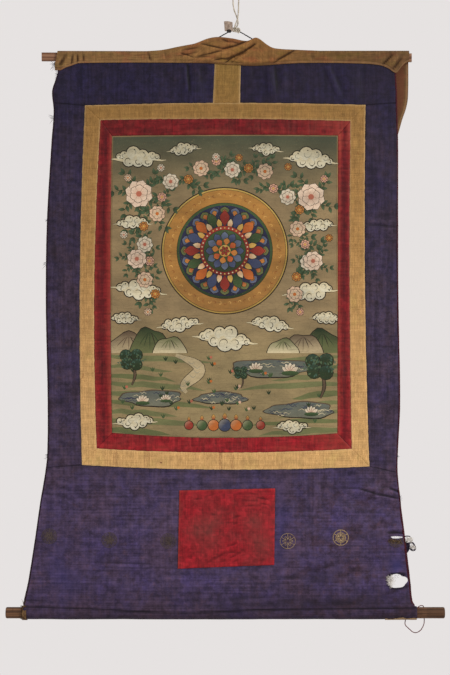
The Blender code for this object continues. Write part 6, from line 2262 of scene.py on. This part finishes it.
def make_turnings():
    """The seams' turned edges behind the mount, as narrow strips."""
    for name, lines in seam_lines().items():
        bundle = Bundle()
        for x, drop in lines:
            line = pairs(x, drop)
            tangent = np.gradient(line, axis=0)
            across = pairs(-tangent[:, 1], tangent[:, 0]) / np.linalg.norm(tangent, axis=1, keepdims=True)
            at = line[:, None] + across[:, None] * np.array(TURNING_COLUMNS)[:, None]
            x, drop = at[..., 0], at[..., 1]
            points = xyz(x, mount_depth(x, drop) + CLOTH + 0.0010, drop)
            bundle.add(both_faces(points, 0.0006), sheet_faces(*points.shape[:2]).tolist())
        bundle.link("turnings_" + name, name)


def make_lining(name, finish, x, turn, lift, wear):
    """A strip of lining on the rod's sleeve; its turn is 0 in front and grows downwards."""
    reach = ROD_SLEEVE_RADIUS + lift
    cloth_sheet(name, xyz(x, -reach * np.cos(turn), ROD_DROP + reach * np.sin(turn)), finish, thickness=0.0008,
                wear=wear)


def make_scrap():
    """The torn scrap beside the right edge, and what shows of the lining at the rod's sleeve."""
    bundle = Bundle()
    turn = np.linspace(-0.6, 5.75, 30)
    curl = np.stack([0.3514 + 0.0062 * np.cos(turn) * (1 + 0.12 * np.sin(2 * turn)),
                     -0.0072 - 0.0010 * np.sin(turn), 1.1078 + 0.0076 * np.sin(turn + 0.3)], 1)
    line = smooth_line(curl, 0.0010)
    bundle.add(*tube(line, 0.0015 + 0.0007 * np.sin(np.linspace(0, math.pi, len(line))), 7))
    bundle.add(*prism(*np.array(SCRAP_FLAP).T, -0.0050, -0.0072))
    bundle.string(SCRAP_LIP, 0.0010, 0.0011, 6)
    bundle.link("torn_scrap", "dark_fibre")
    u, v = np.meshgrid(np.linspace(0, 1, 60), np.linspace(0, 1, 12))
    first = 0.95 - 0.28 * smoothstep(0.1, 0.9, u) + 0.16 * noise(u * 9, v * 0, 44)
    rough = noise(u * 20, v * 2, 45)
    make_lining("lining_strip", "lining", lerp(0.298, 0.3605, u), lerp(first, 2.0, v), 0.0013 + 0.0002 * rough,
                0.5 * rough)
    turn, across = np.meshgrid(np.linspace(-1.45, 1.75, 40), np.linspace(0, 1, 8), indexing="ij")
    ends = 0.0012 * noise(turn * 3.5, across * 0, 47)
    make_lining("lining_end", "brown_lining", lerp(-0.4270 + ends, -0.4175 - ends, across), turn,
                0.0016 + 0.0003 * noise(turn * 4, across * 3, 46), 0.7 * noise(turn * 5, across * 4, 48))


# ================================================================ light and floor
def make_stage():
    scene = bpy.context.scene
    scene.view_settings.view_transform = "Standard"
    world = bpy.data.worlds.new("studio")
    world.use_nodes = True
    world.node_tree.nodes["Background"].inputs["Color"].default_value = srgb(230, 226, 225)
    world.node_tree.nodes["Background"].inputs["Strength"].default_value = 1.0
    scene.world = world
    f = Finish("floor_paint", 0.85)
    grain = f.clouds(f.place, (160, 160, 160), detail=3.0)
    away = f.node("VectorMath", {"operation": "LENGTH"}, Vector=f.place).outputs["Value"]
    # painted against the lamps' light: darker near the middle, where they light the floor most, and paler far
    # off
    tone = f.cover(srgb(214, 211, 210), srgb(251, 248, 247), away, 1.0, 9.0)
    f.plug(f.shader.inputs["Base Color"], f.vary(tone, grain, 0.02))
    mesh = bpy.data.meshes.new("floor")
    reach, far, low = 30.0, 5.4, -2.6
    corners = [(-reach, -reach, low), (reach, -reach, low), (reach, far, low), (-reach, far, low)]
    mesh.from_pydata(corners, [], [(0, 1, 2, 3)])
    mesh.materials.append(f.material)
    floor = bpy.data.objects.new("floor", mesh)
    scene.collection.objects.link(floor)
    for name, place, size, power in (("key", (2.3, -2.2, 0.55), 0.9, 80.0),
                                     ("fill", (-2.4, -2.6, -0.3), 2.2, 7.0),
                                     ("rear", (1.4, 2.6, 0.8), 1.6, 14.0)):
        data = bpy.data.lights.new(name, "AREA")
        data.shape = "DISK"
        data.size = size
        data.energy = power
        light = bpy.data.objects.new(name, data)
        light.location = place
        aim = Vector((-0.02, 0.0, -0.66)) - Vector(place)
        light.rotation_euler = aim.to_track_quat("-Z", "Y").to_euler()
        scene.collection.objects.link(light)


def dress_wood():
    """The batten and the rod keep their solids and take grained wood."""
    for node, finish in (("batten", "batten_wood"), ("rod", "rod_wood")):
        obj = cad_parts[node]
        obj.data.materials.clear()
        obj.data.materials.append(FINISHES[finish])


def main():
    make_camera()
    make_finishes()
    make_cords()
    make_knot()
    make_tape()
    make_top_panels()
    make_borders()
    make_painting()
    make_side_panels()
    make_lower_panel()
    make_door_patch()
    make_edgings()
    make_veil()
    make_rosettes()
    make_fibres()
    make_turnings()
    make_scrap()
    dress_wood()
    make_stage()


main()
